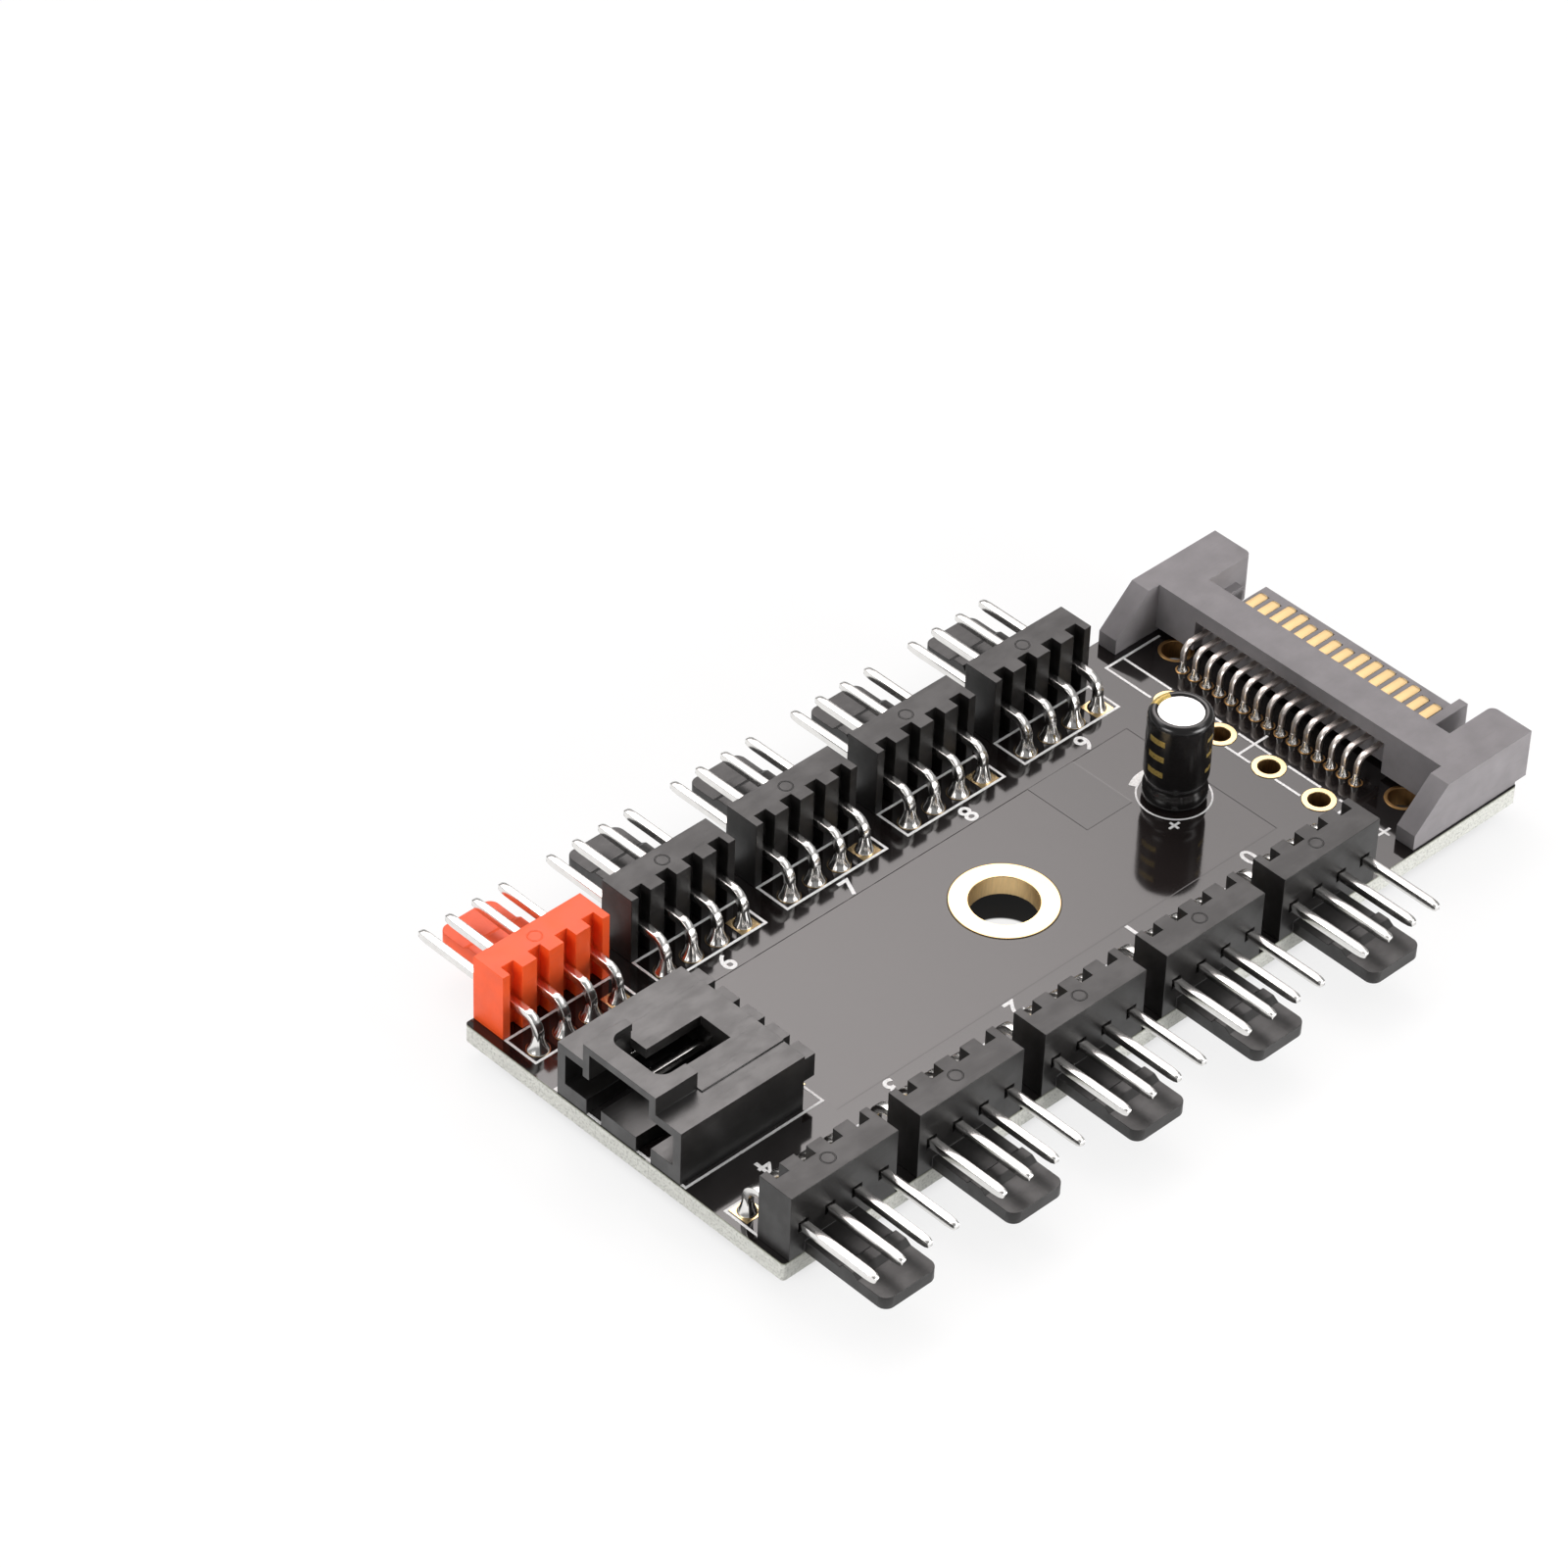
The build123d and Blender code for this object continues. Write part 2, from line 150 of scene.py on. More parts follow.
# Soft panels: distance, direction, side that lies level, size, brightness and colour; then the share of
# its brightness that a panel loses from its middle out, and how far out
NEUTRAL = (1.0, 0.985, 0.98)
LIGHTS = {
    "overhead": (0.66, (0.37, 0.51, 0.78), (1, -1, 0), (0.62, 0.62), 4.2, (1.0, 0.94, 0.93)),
    "left_strip": (0.66, (-0.25, 0.54, 0.80), (1, 0, 0), (0.70, 0.20), 2.0, NEUTRAL),
    "front_strip": (0.66, (0.54, -0.25, 0.80), (0, 1, 0), (0.70, 0.20), 2.4, NEUTRAL),
    "side_fill": (0.19, (-0.90, 0.05, 0.42), (0, 1, 0), (0.115, 0.085), 7.2, NEUTRAL),
    "front_fill": (0.25, (0.35, -0.90, 0.26), (1, 0, 0), (0.19, 0.13), 10.0, NEUTRAL),
}
PANEL_FALL = (0.85, 0.62)
SURROUND = 0.29

# Floor: share of its own glow that is seen, what the painted shadow under the board takes of its glow and
# its paint, width of the painted shadow's soft edge, and the painted lit spot under the mounting hole
FLOOR_GLOW = 0.82
FLOOR_PAINTED_SHADOW = (0.985, 0.9)
FLOOR_PAINTED_SHADOW_EDGE = 4 * MM
FLOOR_PAINTED_SPOT = (2.85 * MM, 3.10 * MM)
FLOOR_PAINTED_SPOT_OFFSET = 1.13 * MM

# Camera: azimuth, elevation and roll in degrees, what it looks at, its distance, and its focal length in
# pixels of an image of a size
VIEW = (-45.05, 40.30, 2.11)
VIEW_TARGET = Vector((-2.86, 20.195, 0)) * MM
VIEW_DISTANCE = 462.7 * MM
FOCAL_PIXELS = 6366.6
IMAGE_PIXELS = 1600


# ---------------------------------------------------------------- sizes and colours

def length(name, description, millimetres):
    """A size in metres whose default is given in millimetres."""
    return FloatProperty(
        name=name, description=description, default=millimetres * MM, min=0.0, precision=6, unit="LENGTH"
    )


def paint(name, description, colour):
    """A linear colour."""
    return FloatVectorProperty(
        name=name, description=description, default=colour, min=0.0, max=1.0, size=3, subtype="COLOR"
    )


class HubSizes(bpy.types.PropertyGroup):
    """Sizes of the pieces that are drawn over the solids."""

    housing_edge: length("Housing edge", "Rounding of the fan headers' moulded edges", 0.07)
    shroud_edge: length("Input edge", "Rounding of the control input's moulded edges", 0.055)
    plug_edge: length("Plug edge", "Rounding of the power plug's moulded edges", 0.07)
    pin_size: length("Pin", "Side of a square header pin", 0.64)
    pin_edge: length("Pin edge", "Rounding of a pin's long edges", 0.04)
    header_bend: length("Header bend", "Bend radius of a fan header pin at its middle", 1.2)
    input_bend: length("Input bend", "Bend radius of a control input pin at its middle", 0.8)
    contact_bend: length("Contact bend", "Bend radius of a power contact at its middle", 0.9)
    solder_height: length("Solder height", "Rise of the solder up a header pin", 1.30)
    pad_radius: length("Pad radius", "Radius of a header pin's pad", 0.90)
    pad_lift: length("Pad lift", "Height of a pad above the board", 0.035)
    ink_width: length("Print line", "Width of a printed line", 0.21)
    ink_lift: length("Print lift", "Height of the print above the board", 0.02)
    digit_height: length("Digit height", "Size of the printed header numbers", 2.35)
    bend_steps: IntProperty(name="Bend steps", description="Steps in each bent pin", default=8, min=2)


class HubColours(bpy.types.PropertyGroup):
    """Colours of the finishes, in linear light."""

    mask: paint("Board mask", "Black solder mask", (0.0095, 0.0075, 0.0072))
    fibre: paint("Board edge", "Cut glass fibre at the board's edge", (0.58, 0.59, 0.55))
    lip: paint("Board lip", "Mask that shows along the top of the board's edge", (0.10, 0.11, 0.055))
    black_nylon: paint("Black nylon", "Fan headers and control input", (0.0095, 0.0087, 0.0083))
    red_nylon: paint("Red nylon", "The marked fan header", (0.93, 0.088, 0.010))
    grey_nylon: paint("Plug nylon", "Power plug", (0.240, 0.229, 0.237))
    tin: paint("Tin", "Pins, tails and solder", (0.82, 0.81, 0.79))
    contact_tin: paint("Contact tin", "Warm tin on the power plug's legs", (0.88, 0.80, 0.75))
    gold: paint("Gold", "Plated holes, pads and contact faces", (0.74, 0.55, 0.29))
    # Copper is also darkened into painted shade down the small holes' walls
    copper: paint("Copper", "Brown plating in the small holes and by the power plug", (0.58, 0.34, 0.14))
    can: paint("Can", "Bare aluminium top of the capacitor", (0.91, 0.91, 0.90))
    sleeve: paint("Sleeve", "Film round the capacitor", (0.006, 0.0055, 0.0055))
    sleeve_mark: paint("Sleeve marks", "Polarity dashes on the film", (0.50, 0.36, 0.10))
    ink: paint("Print", "White print on the board", (0.93, 0.93, 0.93))
    floor: paint("Floor", "Pale floor", (0.92, 0.92, 0.92))


# ---------------------------------------------------------------- shader expressions

class Value:
    """One shader socket that takes part in Python arithmetic."""

    def __init__(self, finish, socket):
        self.finish = finish
        self.socket = socket

    def __add__(self, other):
        return self.finish.math("ADD", self, other)

    def __sub__(self, other):
        return self.finish.math("SUBTRACT", self, other)

    def __rsub__(self, other):
        return self.finish.math("SUBTRACT", other, self)

    def __mul__(self, other):
        return self.finish.math("MULTIPLY", self, other)

    def __truediv__(self, other):
        return self.finish.math("DIVIDE", self, other)

    def __gt__(self, other):
        return self.finish.math("GREATER_THAN", self, other)

    def __abs__(self):
        return self.finish.math("ABSOLUTE", self)

    __radd__ = __add__
    __rmul__ = __mul__


class Graph:
    """A node tree whose maths is written as Python expressions."""

    def __init__(self, tree):
        self.tree = tree
        self.tree.nodes.clear()

    def node(self, kind, settings=None, inputs=None):
        """A node of a kind, its settings made first and then its sockets' values or links."""
        made = self.tree.nodes.new(kind)
        for key, value in (settings or {}).items():
            setattr(made, key, value)
        for key, value in (inputs or {}).items():
            if isinstance(value, Value):
                self.tree.links.new(value.socket, made.inputs[key])
            else:
                made.inputs[key].default_value = value
        return made

    def value(self, kind, settings=None, inputs=None, output=0):
        """One output of a new node."""
        return Value(self, self.node(kind, settings, inputs).outputs[output])

    def math(self, operation, *terms):
        """A Math node on values and numbers."""
        return self.value("ShaderNodeMath", {"operation": operation}, dict(enumerate(terms)))

    def split(self, vector):
        """The three parts of a vector."""
        made = self.node("ShaderNodeSeparateXYZ", inputs={0: vector})
        return [Value(self, socket) for socket in made.outputs]

    def ramp(self, value, low, high):
        """A smooth step from 0 at one value to 1 at another."""
        settings = {"interpolation_type": "SMOOTHSTEP"}
        return self.value("ShaderNodeMapRange", settings, {0: value, "From Min": low, "From Max": high})

    def blend(self, share, first, second):
        """A colour between two colours."""
        first, second = (end if isinstance(end, Value) else (*end, 1.0) for end in (first, second))
        return self.value("ShaderNodeMix", {"data_type": "RGBA"}, {0: share, 6: first, 7: second}, 2)


class Finish(Graph):
    """A material whose varying parts are written as expressions on object coordinates in millimetres."""

    def __init__(self, name, constants):
        self.material = bpy.data.materials.new(name)
        self.material.use_nodes = True
        super().__init__(self.material.node_tree)
        self.shader = self.node("ShaderNodeBsdfPrincipled", inputs=constants)
        surface = Value(self, self.shader.outputs["BSDF"])
        self.node("ShaderNodeOutputMaterial", inputs={"Surface": surface})
        self.coordinates = self.node("ShaderNodeTexCoord")
        metres = Value(self, self.coordinates.outputs["Object"])
        self.place = self.value(
            "ShaderNodeVectorMath", {"operation": "SCALE"}, {0: metres, "Scale": 1 / MM}
        )

    def axes(self):
        """The place on the object, in millimetres along each axis."""
        return self.split(self.place)

    def normal_axes(self):
        """The surface's own direction along each axis."""
        return self.split(Value(self, self.coordinates.outputs["Normal"]))

    def noise(self, scale, detail=2.0, stretch=(1.0, 1.0, 1.0), turn=(0.0, 0.0, 0.0)):
        """Soft noise with a number of features to the millimetre, squeezed along the axes."""
        vector = self.value(
            "ShaderNodeMapping", inputs={0: self.place, "Rotation": turn, "Scale": stretch}
        )
        settings = {"Vector": vector, "Scale": scale, "Detail": detail}
        return self.value("ShaderNodeTexNoise", inputs=settings)

    def feed(self, **parts):
        """Links values to the shader's sockets, named with underscores."""
        for name, value in parts.items():
            self.tree.links.new(value.socket, self.shader.inputs[name.replace("_", " ")])

    def bump(self, height, depth):
        """Raises the surface by a depth in millimetres where the height is 1."""
        self.feed(Normal=self.value("ShaderNodeBump", inputs={"Height": height, "Distance": depth * MM}))


def shade(colour, factor):
    """A colour made darker or lighter."""
    return tuple(min(1.0, part * factor) for part in colour)


FINISHES = {}


def finish_once(maker):
    """Keeps one material for each finish and colour."""
    def find(colours, *args):
        key = (maker.__name__, *args)
        if key not in FINISHES:
            FINISHES[key] = maker(colours, *args)
        return FINISHES[key]
    return find


@finish_once
def board_finish(colours):
    """Glossy black mask over copper on the faces, cut glass fibre at the edges."""
    finish = Finish("board_mask_and_fibre", {"IOR": 1.56})
    x, y, z = finish.axes()
    face = abs(finish.normal_axes()[2]) > 0.5
    cloud = finish.noise(0.22, 3.0)
    grain = finish.noise(6.0, 2.0)
    pour = finish.ramp(7.7 - abs(y), -0.04, 0.04) * finish.ramp(22.6 - abs(x + 1.8), -0.04, 0.04)
    island = finish.ramp(3.1 - abs(y - 4.6), -0.04, 0.04) * finish.ramp(2.4 - abs(x - 12.6), -0.04, 0.04)
    copper = pour * (1 - island)
    bare = finish.blend(cloud, shade(colours.mask, 0.75), shade(colours.mask, 1.15))
    over_copper = finish.blend(cloud, shade(colours.mask, 1.2), shade(colours.mask, 1.9))
    mask = finish.blend(copper, bare, over_copper)
    plies = finish.noise(1.1, 3.0, stretch=(1.0, 1.0, 6.0))
    flecks = finish.ramp(finish.noise(5.5, 4.0), 0.50, 0.64)
    fibre = finish.blend(plies, shade(colours.fibre, 0.80), shade(colours.fibre, 1.30))
    fibre = finish.blend(flecks * 0.55, fibre, shade(colours.fibre, 0.50))
    lip = finish.ramp(z + grain * 0.10, -0.14, -0.02)
    fibre = finish.blend(lip * 0.75, fibre, tuple(colours.lip))
    finish.feed(
        Base_Color=finish.blend(face, fibre, mask),
        Roughness=0.72 - face * (0.655 - 0.05 * grain * cloud),
    )
    ripple = finish.noise(0.55, 1.0) * 0.16 + grain * 0.012
    finish.bump(face * (ripple + copper * 0.9) + (1 - face) * flecks, 0.012)
    return finish.material


@finish_once
def nylon_finish(colours, name, roughness, specular, smear):
    """Moulded nylon: fine spark grain, flow smears in its gloss and long drawn scuffs."""
    colour = getattr(colours, name)
    finish = Finish(name, {"IOR": 1.5, "Specular IOR Level": specular, "Coat Roughness": roughness})
    cloud = finish.noise(0.5, 3.0)
    grain = finish.noise(16.0, 3.0)
    drag = finish.noise(2.6, 4.0, stretch=(0.22, 2.2, 1.2), turn=(0.0, 0.0, 0.35))
    scuff = finish.ramp(drag, 0.56, 0.74)
    flow = finish.ramp(finish.noise(0.42, 5.0, stretch=(1.0, 1.7, 1.0)), 0.36, 0.66)
    tone = finish.blend(cloud, shade(colour, 0.78), shade(colour, 1.22))
    pale = tuple(0.8 * part + 0.02 for part in colour)
    finish.feed(
        Base_Color=finish.blend(scuff * 0.35, tone, pale),
        Roughness=roughness + 0.14 * cloud + 0.10 * scuff - 0.06 * grain,
        Coat_Weight=smear * (flow * 0.7 + grain * 0.25 + scuff * 0.3),
    )
    finish.bump(grain * 0.5 + scuff * 0.3, 0.009)
    return finish.material


@finish_once
def tin_finish(colours, name, gloss):
    """Bright tin: drawn streaks, dull patches and small pits."""
    finish = Finish(name, {"Metallic": 1.0, "IOR": 1.6})
    streak = finish.noise(9.0, 3.0, stretch=(1.0, 0.25, 0.6))
    patch = finish.noise(1.7, 3.0)
    finish.feed(
        Base_Color=finish.blend(patch, shade(colours.tin, 0.88), shade(colours.tin, 1.10)),
        Roughness=gloss + 0.06 * patch + 0.06 * streak,
    )
    finish.bump(streak * 0.6 + patch * 0.4, 0.0014)
    return finish.material


@finish_once
def gold_finish(colours):
    """Thin gold over copper: pale on the pads, ribbed down the hole walls, browner by the power plug,
    painted dark in the small holes as their shade.
    """
    finish = Finish("gold_plating", {"Metallic": 1.0, "IOR": 1.5})
    x, y, _ = finish.axes()
    wall = 1 - finish.ramp(abs(finish.normal_axes()[2]), 0.15, 0.6)
    patch = finish.noise(1.3, 3.0)
    ribs = finish.noise(7.0, 2.0, stretch=(1.0, 1.0, 0.12))
    out = finish.math("SQRT", x * x + y * y)
    masked = finish.ramp(out, 4.06, 4.12) * finish.ramp(out, 4.5, 4.4)
    small_hole = finish.ramp(out, 5.0, 6.0)
    near_plug = finish.ramp(x, 27.6, 28.4)
    pad = finish.blend(patch, shade(colours.gold, 0.92), shade(colours.gold, 1.06))
    pad = finish.blend(near_plug, pad, tuple(colours.copper))
    pad = finish.blend(masked, pad, shade(colours.gold, 0.12))
    barrel = finish.blend(ribs, shade(colours.gold, 0.95), shade(colours.gold, 1.35))
    # Painted shade: the small holes' walls take a copper tone darkened for the shade down their narrow
    # bores
    small_barrel_painted_shade = finish.blend(ribs, shade(colours.copper, 0.35), shade(colours.copper, 0.85))
    finish.feed(
        Base_Color=finish.blend(wall, pad, finish.blend(small_hole, barrel, small_barrel_painted_shade)),
        Roughness=0.17 + 0.10 * patch + wall * (0.22 + 0.14 * ribs) + 0.12 * near_plug,
    )
    finish.bump(wall * ribs + patch * 0.1, 0.012)
    return finish.material


@finish_once
def contact_finish(colours):
    """Power contacts: gold on the blade, tin from the beam down to the board."""
    finish = Finish("contact_gold_and_tin", {"Metallic": 1.0, "IOR": 1.5})
    x = finish.axes()[0]
    blade = finish.ramp(x, 32.2, 33.0)
    patch = finish.noise(2.2, 3.0)
    wipe = finish.noise(8.0, 2.0, stretch=(0.15, 1.0, 1.0))
    gold = finish.blend(patch, shade(colours.gold, 0.78), shade(colours.gold, 0.92))
    tin = finish.blend(patch, shade(colours.contact_tin, 0.92), shade(colours.contact_tin, 1.10))
    finish.feed(
        Base_Color=finish.blend(blade, tin, gold),
        Roughness=0.30 + 0.06 * patch + 0.06 * wipe + 0.18 * blade,
    )
    finish.bump(wipe * 0.6 + patch * 0.4, 0.0016)
    return finish.material


@finish_once
def can_finish(colours):
    """Pressed aluminium: fine rings round the can's axis and a faint cloud."""
    finish = Finish("can_aluminium", {"Metallic": 1.0, "IOR": 1.5})
    x, y, _ = finish.axes()
    out = x - capacitor_axis().x / MM
    radius = finish.math("SQRT", out * out + y * y)
    rings = finish.math("SINE", radius * 38.0) * 0.5 + 0.5
    cloud = finish.noise(1.6, 3.0)
    finish.feed(
        Base_Color=finish.blend(cloud, shade(colours.can, 0.93), shade(colours.can, 1.05)),
        Roughness=0.34 + 0.08 * cloud + 0.04 * rings,
    )
    finish.bump(rings * 0.5 + cloud * 0.5, 0.004)
    return finish.material


@finish_once
def sleeve_finish(colours):
    """Glossy shrink film with two columns of plain gilt dashes and a gilt polarity stripe."""
    finish = Finish("sleeve_film", {"IOR": 1.53, "Coat Roughness": 0.05})
    x, y, z = finish.axes()
    turn = finish.math("ARCTAN2", y, x - capacitor_axis().x / MM)
    left = finish.ramp(abs(abs(turn) - 3.02), 0.20, 0.15)
    right = finish.ramp(abs(turn + 1.25), 0.20, 0.15)
    beat = abs(finish.math("FRACT", z / 1.45) - 0.5)
    dash = finish.ramp(beat, 0.27, 0.23) * finish.ramp(z, 2.75, 2.85) * finish.ramp(z, 7.0, 6.9)
    mark = (left * finish.ramp(beat, 0.20, 0.16) + right * finish.ramp(beat, 0.14, 0.10)) * dash
    minus = finish.ramp(abs(turn - 1.63), 0.26, 0.23) * finish.ramp(abs(beat - 0.04), 0.09, 0.06)
    stripe = finish.ramp(abs(turn - 1.63), 0.42, 0.40) * finish.ramp(z, 0.5, 0.6)
    mark = mark + stripe * (1 - minus * finish.ramp(z, 7.3, 7.2))
    worn = mark * finish.ramp(finish.noise(9.0, 3.0), 0.30, 0.46)
    pull = finish.noise(2.4, 2.0, stretch=(1.0, 1.0, 0.2))
    film = finish.blend(pull, shade(colours.sleeve, 0.8), shade(colours.sleeve, 1.5))
    finish.feed(
        Base_Color=finish.blend(worn, film, tuple(colours.sleeve_mark)),
        Roughness=0.19 + 0.07 * pull + 0.16 * worn,
        Metallic=worn * 0.55,
    )
    finish.bump(pull * 0.8 + worn * 0.2, 0.002)
    return finish.material


@finish_once
def ink_finish(colours):
    """White screen print, thin in places."""
    finish = Finish("screen_print", {"IOR": 1.45})
    thin = finish.ramp(finish.noise(5.0, 4.0), 0.30, 0.62)
    weave = finish.noise(14.0, 2.0)
    finish.feed(
        Base_Color=finish.blend(thin, shade(colours.ink, 0.80), tuple(colours.ink)),
        Roughness=0.52 + 0.16 * weave,
    )
    finish.bump(weave, 0.008)
    return finish.material


# ---------------------------------------------------------------- modelling helpers

def add_piece(name, bm, material, replaced=(), sharp=None):
    """Turns a bmesh into a piece that rides on the board, shaded smooth up to an angle."""
    mesh = bpy.data.meshes.new(name)
    bm.to_mesh(mesh)
    bm.free()
    mesh.materials.append(material)
    mesh.shade_smooth()
    if sharp is not None:
        mesh.set_sharp_from_angle(angle=radians(sharp))
    obj = bpy.data.objects.new(name, mesh)
    bpy.context.scene.collection.objects.link(obj)
    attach(obj, "root")
    if replaced:
        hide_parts(*replaced)
    return obj


def even_shading(obj):
    """Lets the large flat faces set the shading of a moulding's rounded edges."""
    modifier = obj.modifiers.new("even_shading", "WEIGHTED_NORMAL")
    modifier.mode = "FACE_AREA"
    modifier.weight = 100


def everything(bm):
    """All of a bmesh's geometry."""
    return bm.verts[:] + bm.edges[:] + bm.faces[:]


def only(kind, geometry):
    """The parts of one kind in a mixed list."""
    return [part for part in geometry if isinstance(part, kind)]


def copies(bm, moves):
    """Repeats the whole of a bmesh at each move."""
    source = everything(bm)
    for move in moves[1:]:
        made = bmesh.ops.duplicate(bm, geom=source)["geom"]
        bmesh.ops.translate(bm, verts=only(bmesh.types.BMVert, made), vec=move)
    first = only(bmesh.types.BMVert, source)
    bmesh.ops.translate(bm, verts=first, vec=moves[0])


def join(bm, other):
    """Adds one bmesh to another."""
    mesh = bpy.data.meshes.new("joined")
    other.to_mesh(mesh)
    other.free()
    bm.from_mesh(mesh)
    bpy.data.meshes.remove(mesh)


def moulded(node, edge):
    """Copy of a housing's solid with its flat faces merged and its edges rounded."""
    bm = bmesh.new()
    bm.from_mesh(NODES[node].data)
    bmesh.ops.remove_doubles(bm, verts=bm.verts, dist=MERGE)
    bmesh.ops.dissolve_limit(bm, angle_limit=radians(1), verts=bm.verts, edges=bm.edges)
    sharp = [line for line in bm.edges if line.calc_face_angle(0) > radians(30)]
    bmesh.ops.bevel(
        bm, geom=sharp, offset=edge, offset_type="OFFSET", affect="EDGES",
        segments=2, profile=0.5, material=-1, clamp_overlap=True,
    )
    return bm


def turned(profile, steps, closed=False):
    """Surface of revolution about Z of a half section of (radius, height) points in millimetres."""
    bm = bmesh.new()
    verts = [bm.verts.new((radius * MM, 0, height * MM)) for radius, height in profile]
    ends = verts[1:] + verts[:1] if closed else verts[1:]
    lines = [bm.edges.new(pair) for pair in zip(verts, ends)]
    bmesh.ops.spin(
        bm, geom=verts + lines, cent=(0, 0, 0), axis=(0, 0, 1),
        angle=2 * pi, steps=steps, use_merge=True, use_duplicate=False,
    )
    bmesh.ops.remove_doubles(bm, verts=bm.verts, dist=MERGE)
    bmesh.ops.recalc_face_normals(bm, faces=bm.faces)
    return bm


def flat_ring(bm, inner, outer, under, top, steps, place):
    """Adds a flat ring at a place, its radii and heights in millimetres."""
    ring = turned([(inner, under), (outer, under), (outer, top), (inner, top)], steps, closed=True)
    bmesh.ops.translate(ring, verts=ring.verts, vec=place)
    join(bm, ring)


def bar_start(bm, width, height, edge):
    """Rounded rectangle that faces -Y at the origin; returns its border."""
    made = bmesh.ops.create_grid(bm, x_segments=1, y_segments=1, size=0.5)["verts"]
    bmesh.ops.scale(bm, verts=made, vec=(width, height, 1))
    bmesh.ops.bevel(
        bm, geom=made, offset=edge, offset_type="OFFSET", affect="VERTICES",
        segments=2, profile=0.5, material=-1,
    )
    bmesh.ops.transform(bm, matrix=Matrix.Rotation(pi / 2, 4, "X"), verts=bm.verts)
    return bm.edges[:]


def corners(border):
    """The vertices of a border."""
    return list({vert for line in border for vert in line.verts})


def middle_of(border):
    """The middle of a border."""
    verts = corners(border)
    return sum((vert.co for vert in verts), Vector()) / len(verts)


def stretched(bm, border, stretch):
    """Stretches a border about its middle."""
    space = Matrix.Translation(-middle_of(border))
    bmesh.ops.scale(bm, verts=corners(border), vec=stretch, space=space)


def drawn(bm, border, move, stretch=(1, 1, 1)):
    """Draws a border on by a move and stretches its far end."""
    made = bmesh.ops.extrude_edge_only(bm, edges=border)["geom"]
    border = only(bmesh.types.BMEdge, made)
    bmesh.ops.translate(bm, verts=corners(border), vec=move)
    stretched(bm, border, stretch)
    return border


def bent_down(bm, border, bend, steps):
    """Turns a border that runs along +Y downwards round a bend at its middle."""
    centre = middle_of(border) - Vector((0, 0, bend))
    made = bmesh.ops.spin(
        bm, geom=corners(border) + border, cent=centre, axis=(1, 0, 0),
        angle=-pi / 2, steps=steps, use_duplicate=False,
    )["geom_last"]
    return only(bmesh.types.BMEdge, made)


def pointed(bm, border, shares, moves, all_round):
    """Draws a tip that grows in steps to its full width, and to its full height if it tapers all round."""
    def growth(share):
        return (share, 1, share if all_round else 1)

    stretched(bm, border, growth(shares[0]))
    for share, next_share, move in zip(shares, shares[1:], moves):
        border = drawn(bm, border, (0, move * MM, 0), growth(next_share / share))
    return border


def closed_end(bm, border):
    """Closes the end of a bar and points its faces outwards."""
    bmesh.ops.contextual_create(bm, geom=border)
    bmesh.ops.recalc_face_normals(bm, faces=bm.faces)


def square_pin(sizes, reach, bend, foot):
    """Bent square pin with a bullet tip, from y = 0 to its tail at y = reach, about z = 0."""
    bm = bmesh.new()
    side = sizes.pin_size
    shares, moves = PIN_TIP
    border = bar_start(bm, side, side, sizes.pin_edge)
    border = pointed(bm, border, shares, moves, True)
    border = drawn(bm, border, (0, reach - bend - sum(moves) * MM, 0))
    border = bent_down(bm, border, bend, sizes.bend_steps)
    border = drawn(bm, border, (0, 0, foot + bend + TAIL_TAPER))
    border = drawn(bm, border, (0, 0, -TAIL_TAPER), (TAIL_SHARE, TAIL_SHARE, 1))
    closed_end(bm, border)
    return bm


def header_row(number):
    """Which way a fan header faces: -1 for the front row and 1 for the rear."""
    return 1 if number >= REAR_FROM else -1


def spread(count, pitch):
    """Evenly pitched places about zero."""
    return [(index - (count - 1) / 2) * pitch for index in range(count)]


def pin_tails(number, sizes):
    """Where a fan header's pins pass the board, in order along +X."""
    low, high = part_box(f"fan_header_{number}_pins")
    inner = low.y if header_row(number) > 0 else high.y
    y = inner + header_row(number) * sizes.pin_size / 2
    middle = (low.x + high.x) / 2
    return [Vector((middle + x, y, 0)) for x in spread(4, PIN_PITCH)]


def input_tails(sizes):
    """Where the control input's pins pass the board, in order along +Y."""
    low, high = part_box("pwm_input_pins")
    middle = (low.y + high.y) / 2
    return [Vector((high.x - sizes.pin_size / 2, middle + y, 0)) for y in spread(4, PIN_PITCH)]


def contact_tails():
    """Where the power contacts pass the board, from the +Y end."""
    boxes = [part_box(f"sata_contacts_{group}") for group in CONTACT_GROUPS]
    x = boxes[0][0].x + CONTACT_THICKNESS / 2
    return [
        Vector((x, (low.y + high.y) / 2 - y, 0)) for low, high in boxes for y in spread(3, CONTACT_PITCH)
    ]


def capacitor_axis():
    """Foot of the capacitor's axis on the board."""
    low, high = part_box("capacitor_sleeve")
    return Vector(((low.x + high.x) / 2, (low.y + high.y) / 2, 0))


def capacitor_tails():
    """Where the capacitor's leads pass the board."""
    low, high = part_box("capacitor_leads")
    inset = (high.y - low.y) / 2
    return [Vector((low.x + inset, 0, 0)), Vector((high.x - inset, 0, 0))]


# ---------------------------------------------------------------- operators

class HubOperator(bpy.types.Operator):
    """Base of the hub's operators."""

    bl_options = {"REGISTER", "UNDO"}

    def execute(self, context):
        """Builds the pieces from the scene's sizes and colours."""
        self.build(context.scene.hub_sizes, context.scene.hub_colours)
        return {"FINISHED"}


class HUB_OT_board(HubOperator):
    """Finishes the circuit board"""

    bl_idname = "fan_hub.board"
    bl_label = "Circuit board"

    def build(self, sizes, colours):
        """Gives the board its mask and its cut edge."""
        slots = NODES["pcb"].data.materials
        slots.clear()
        slots.append(board_finish(colours))


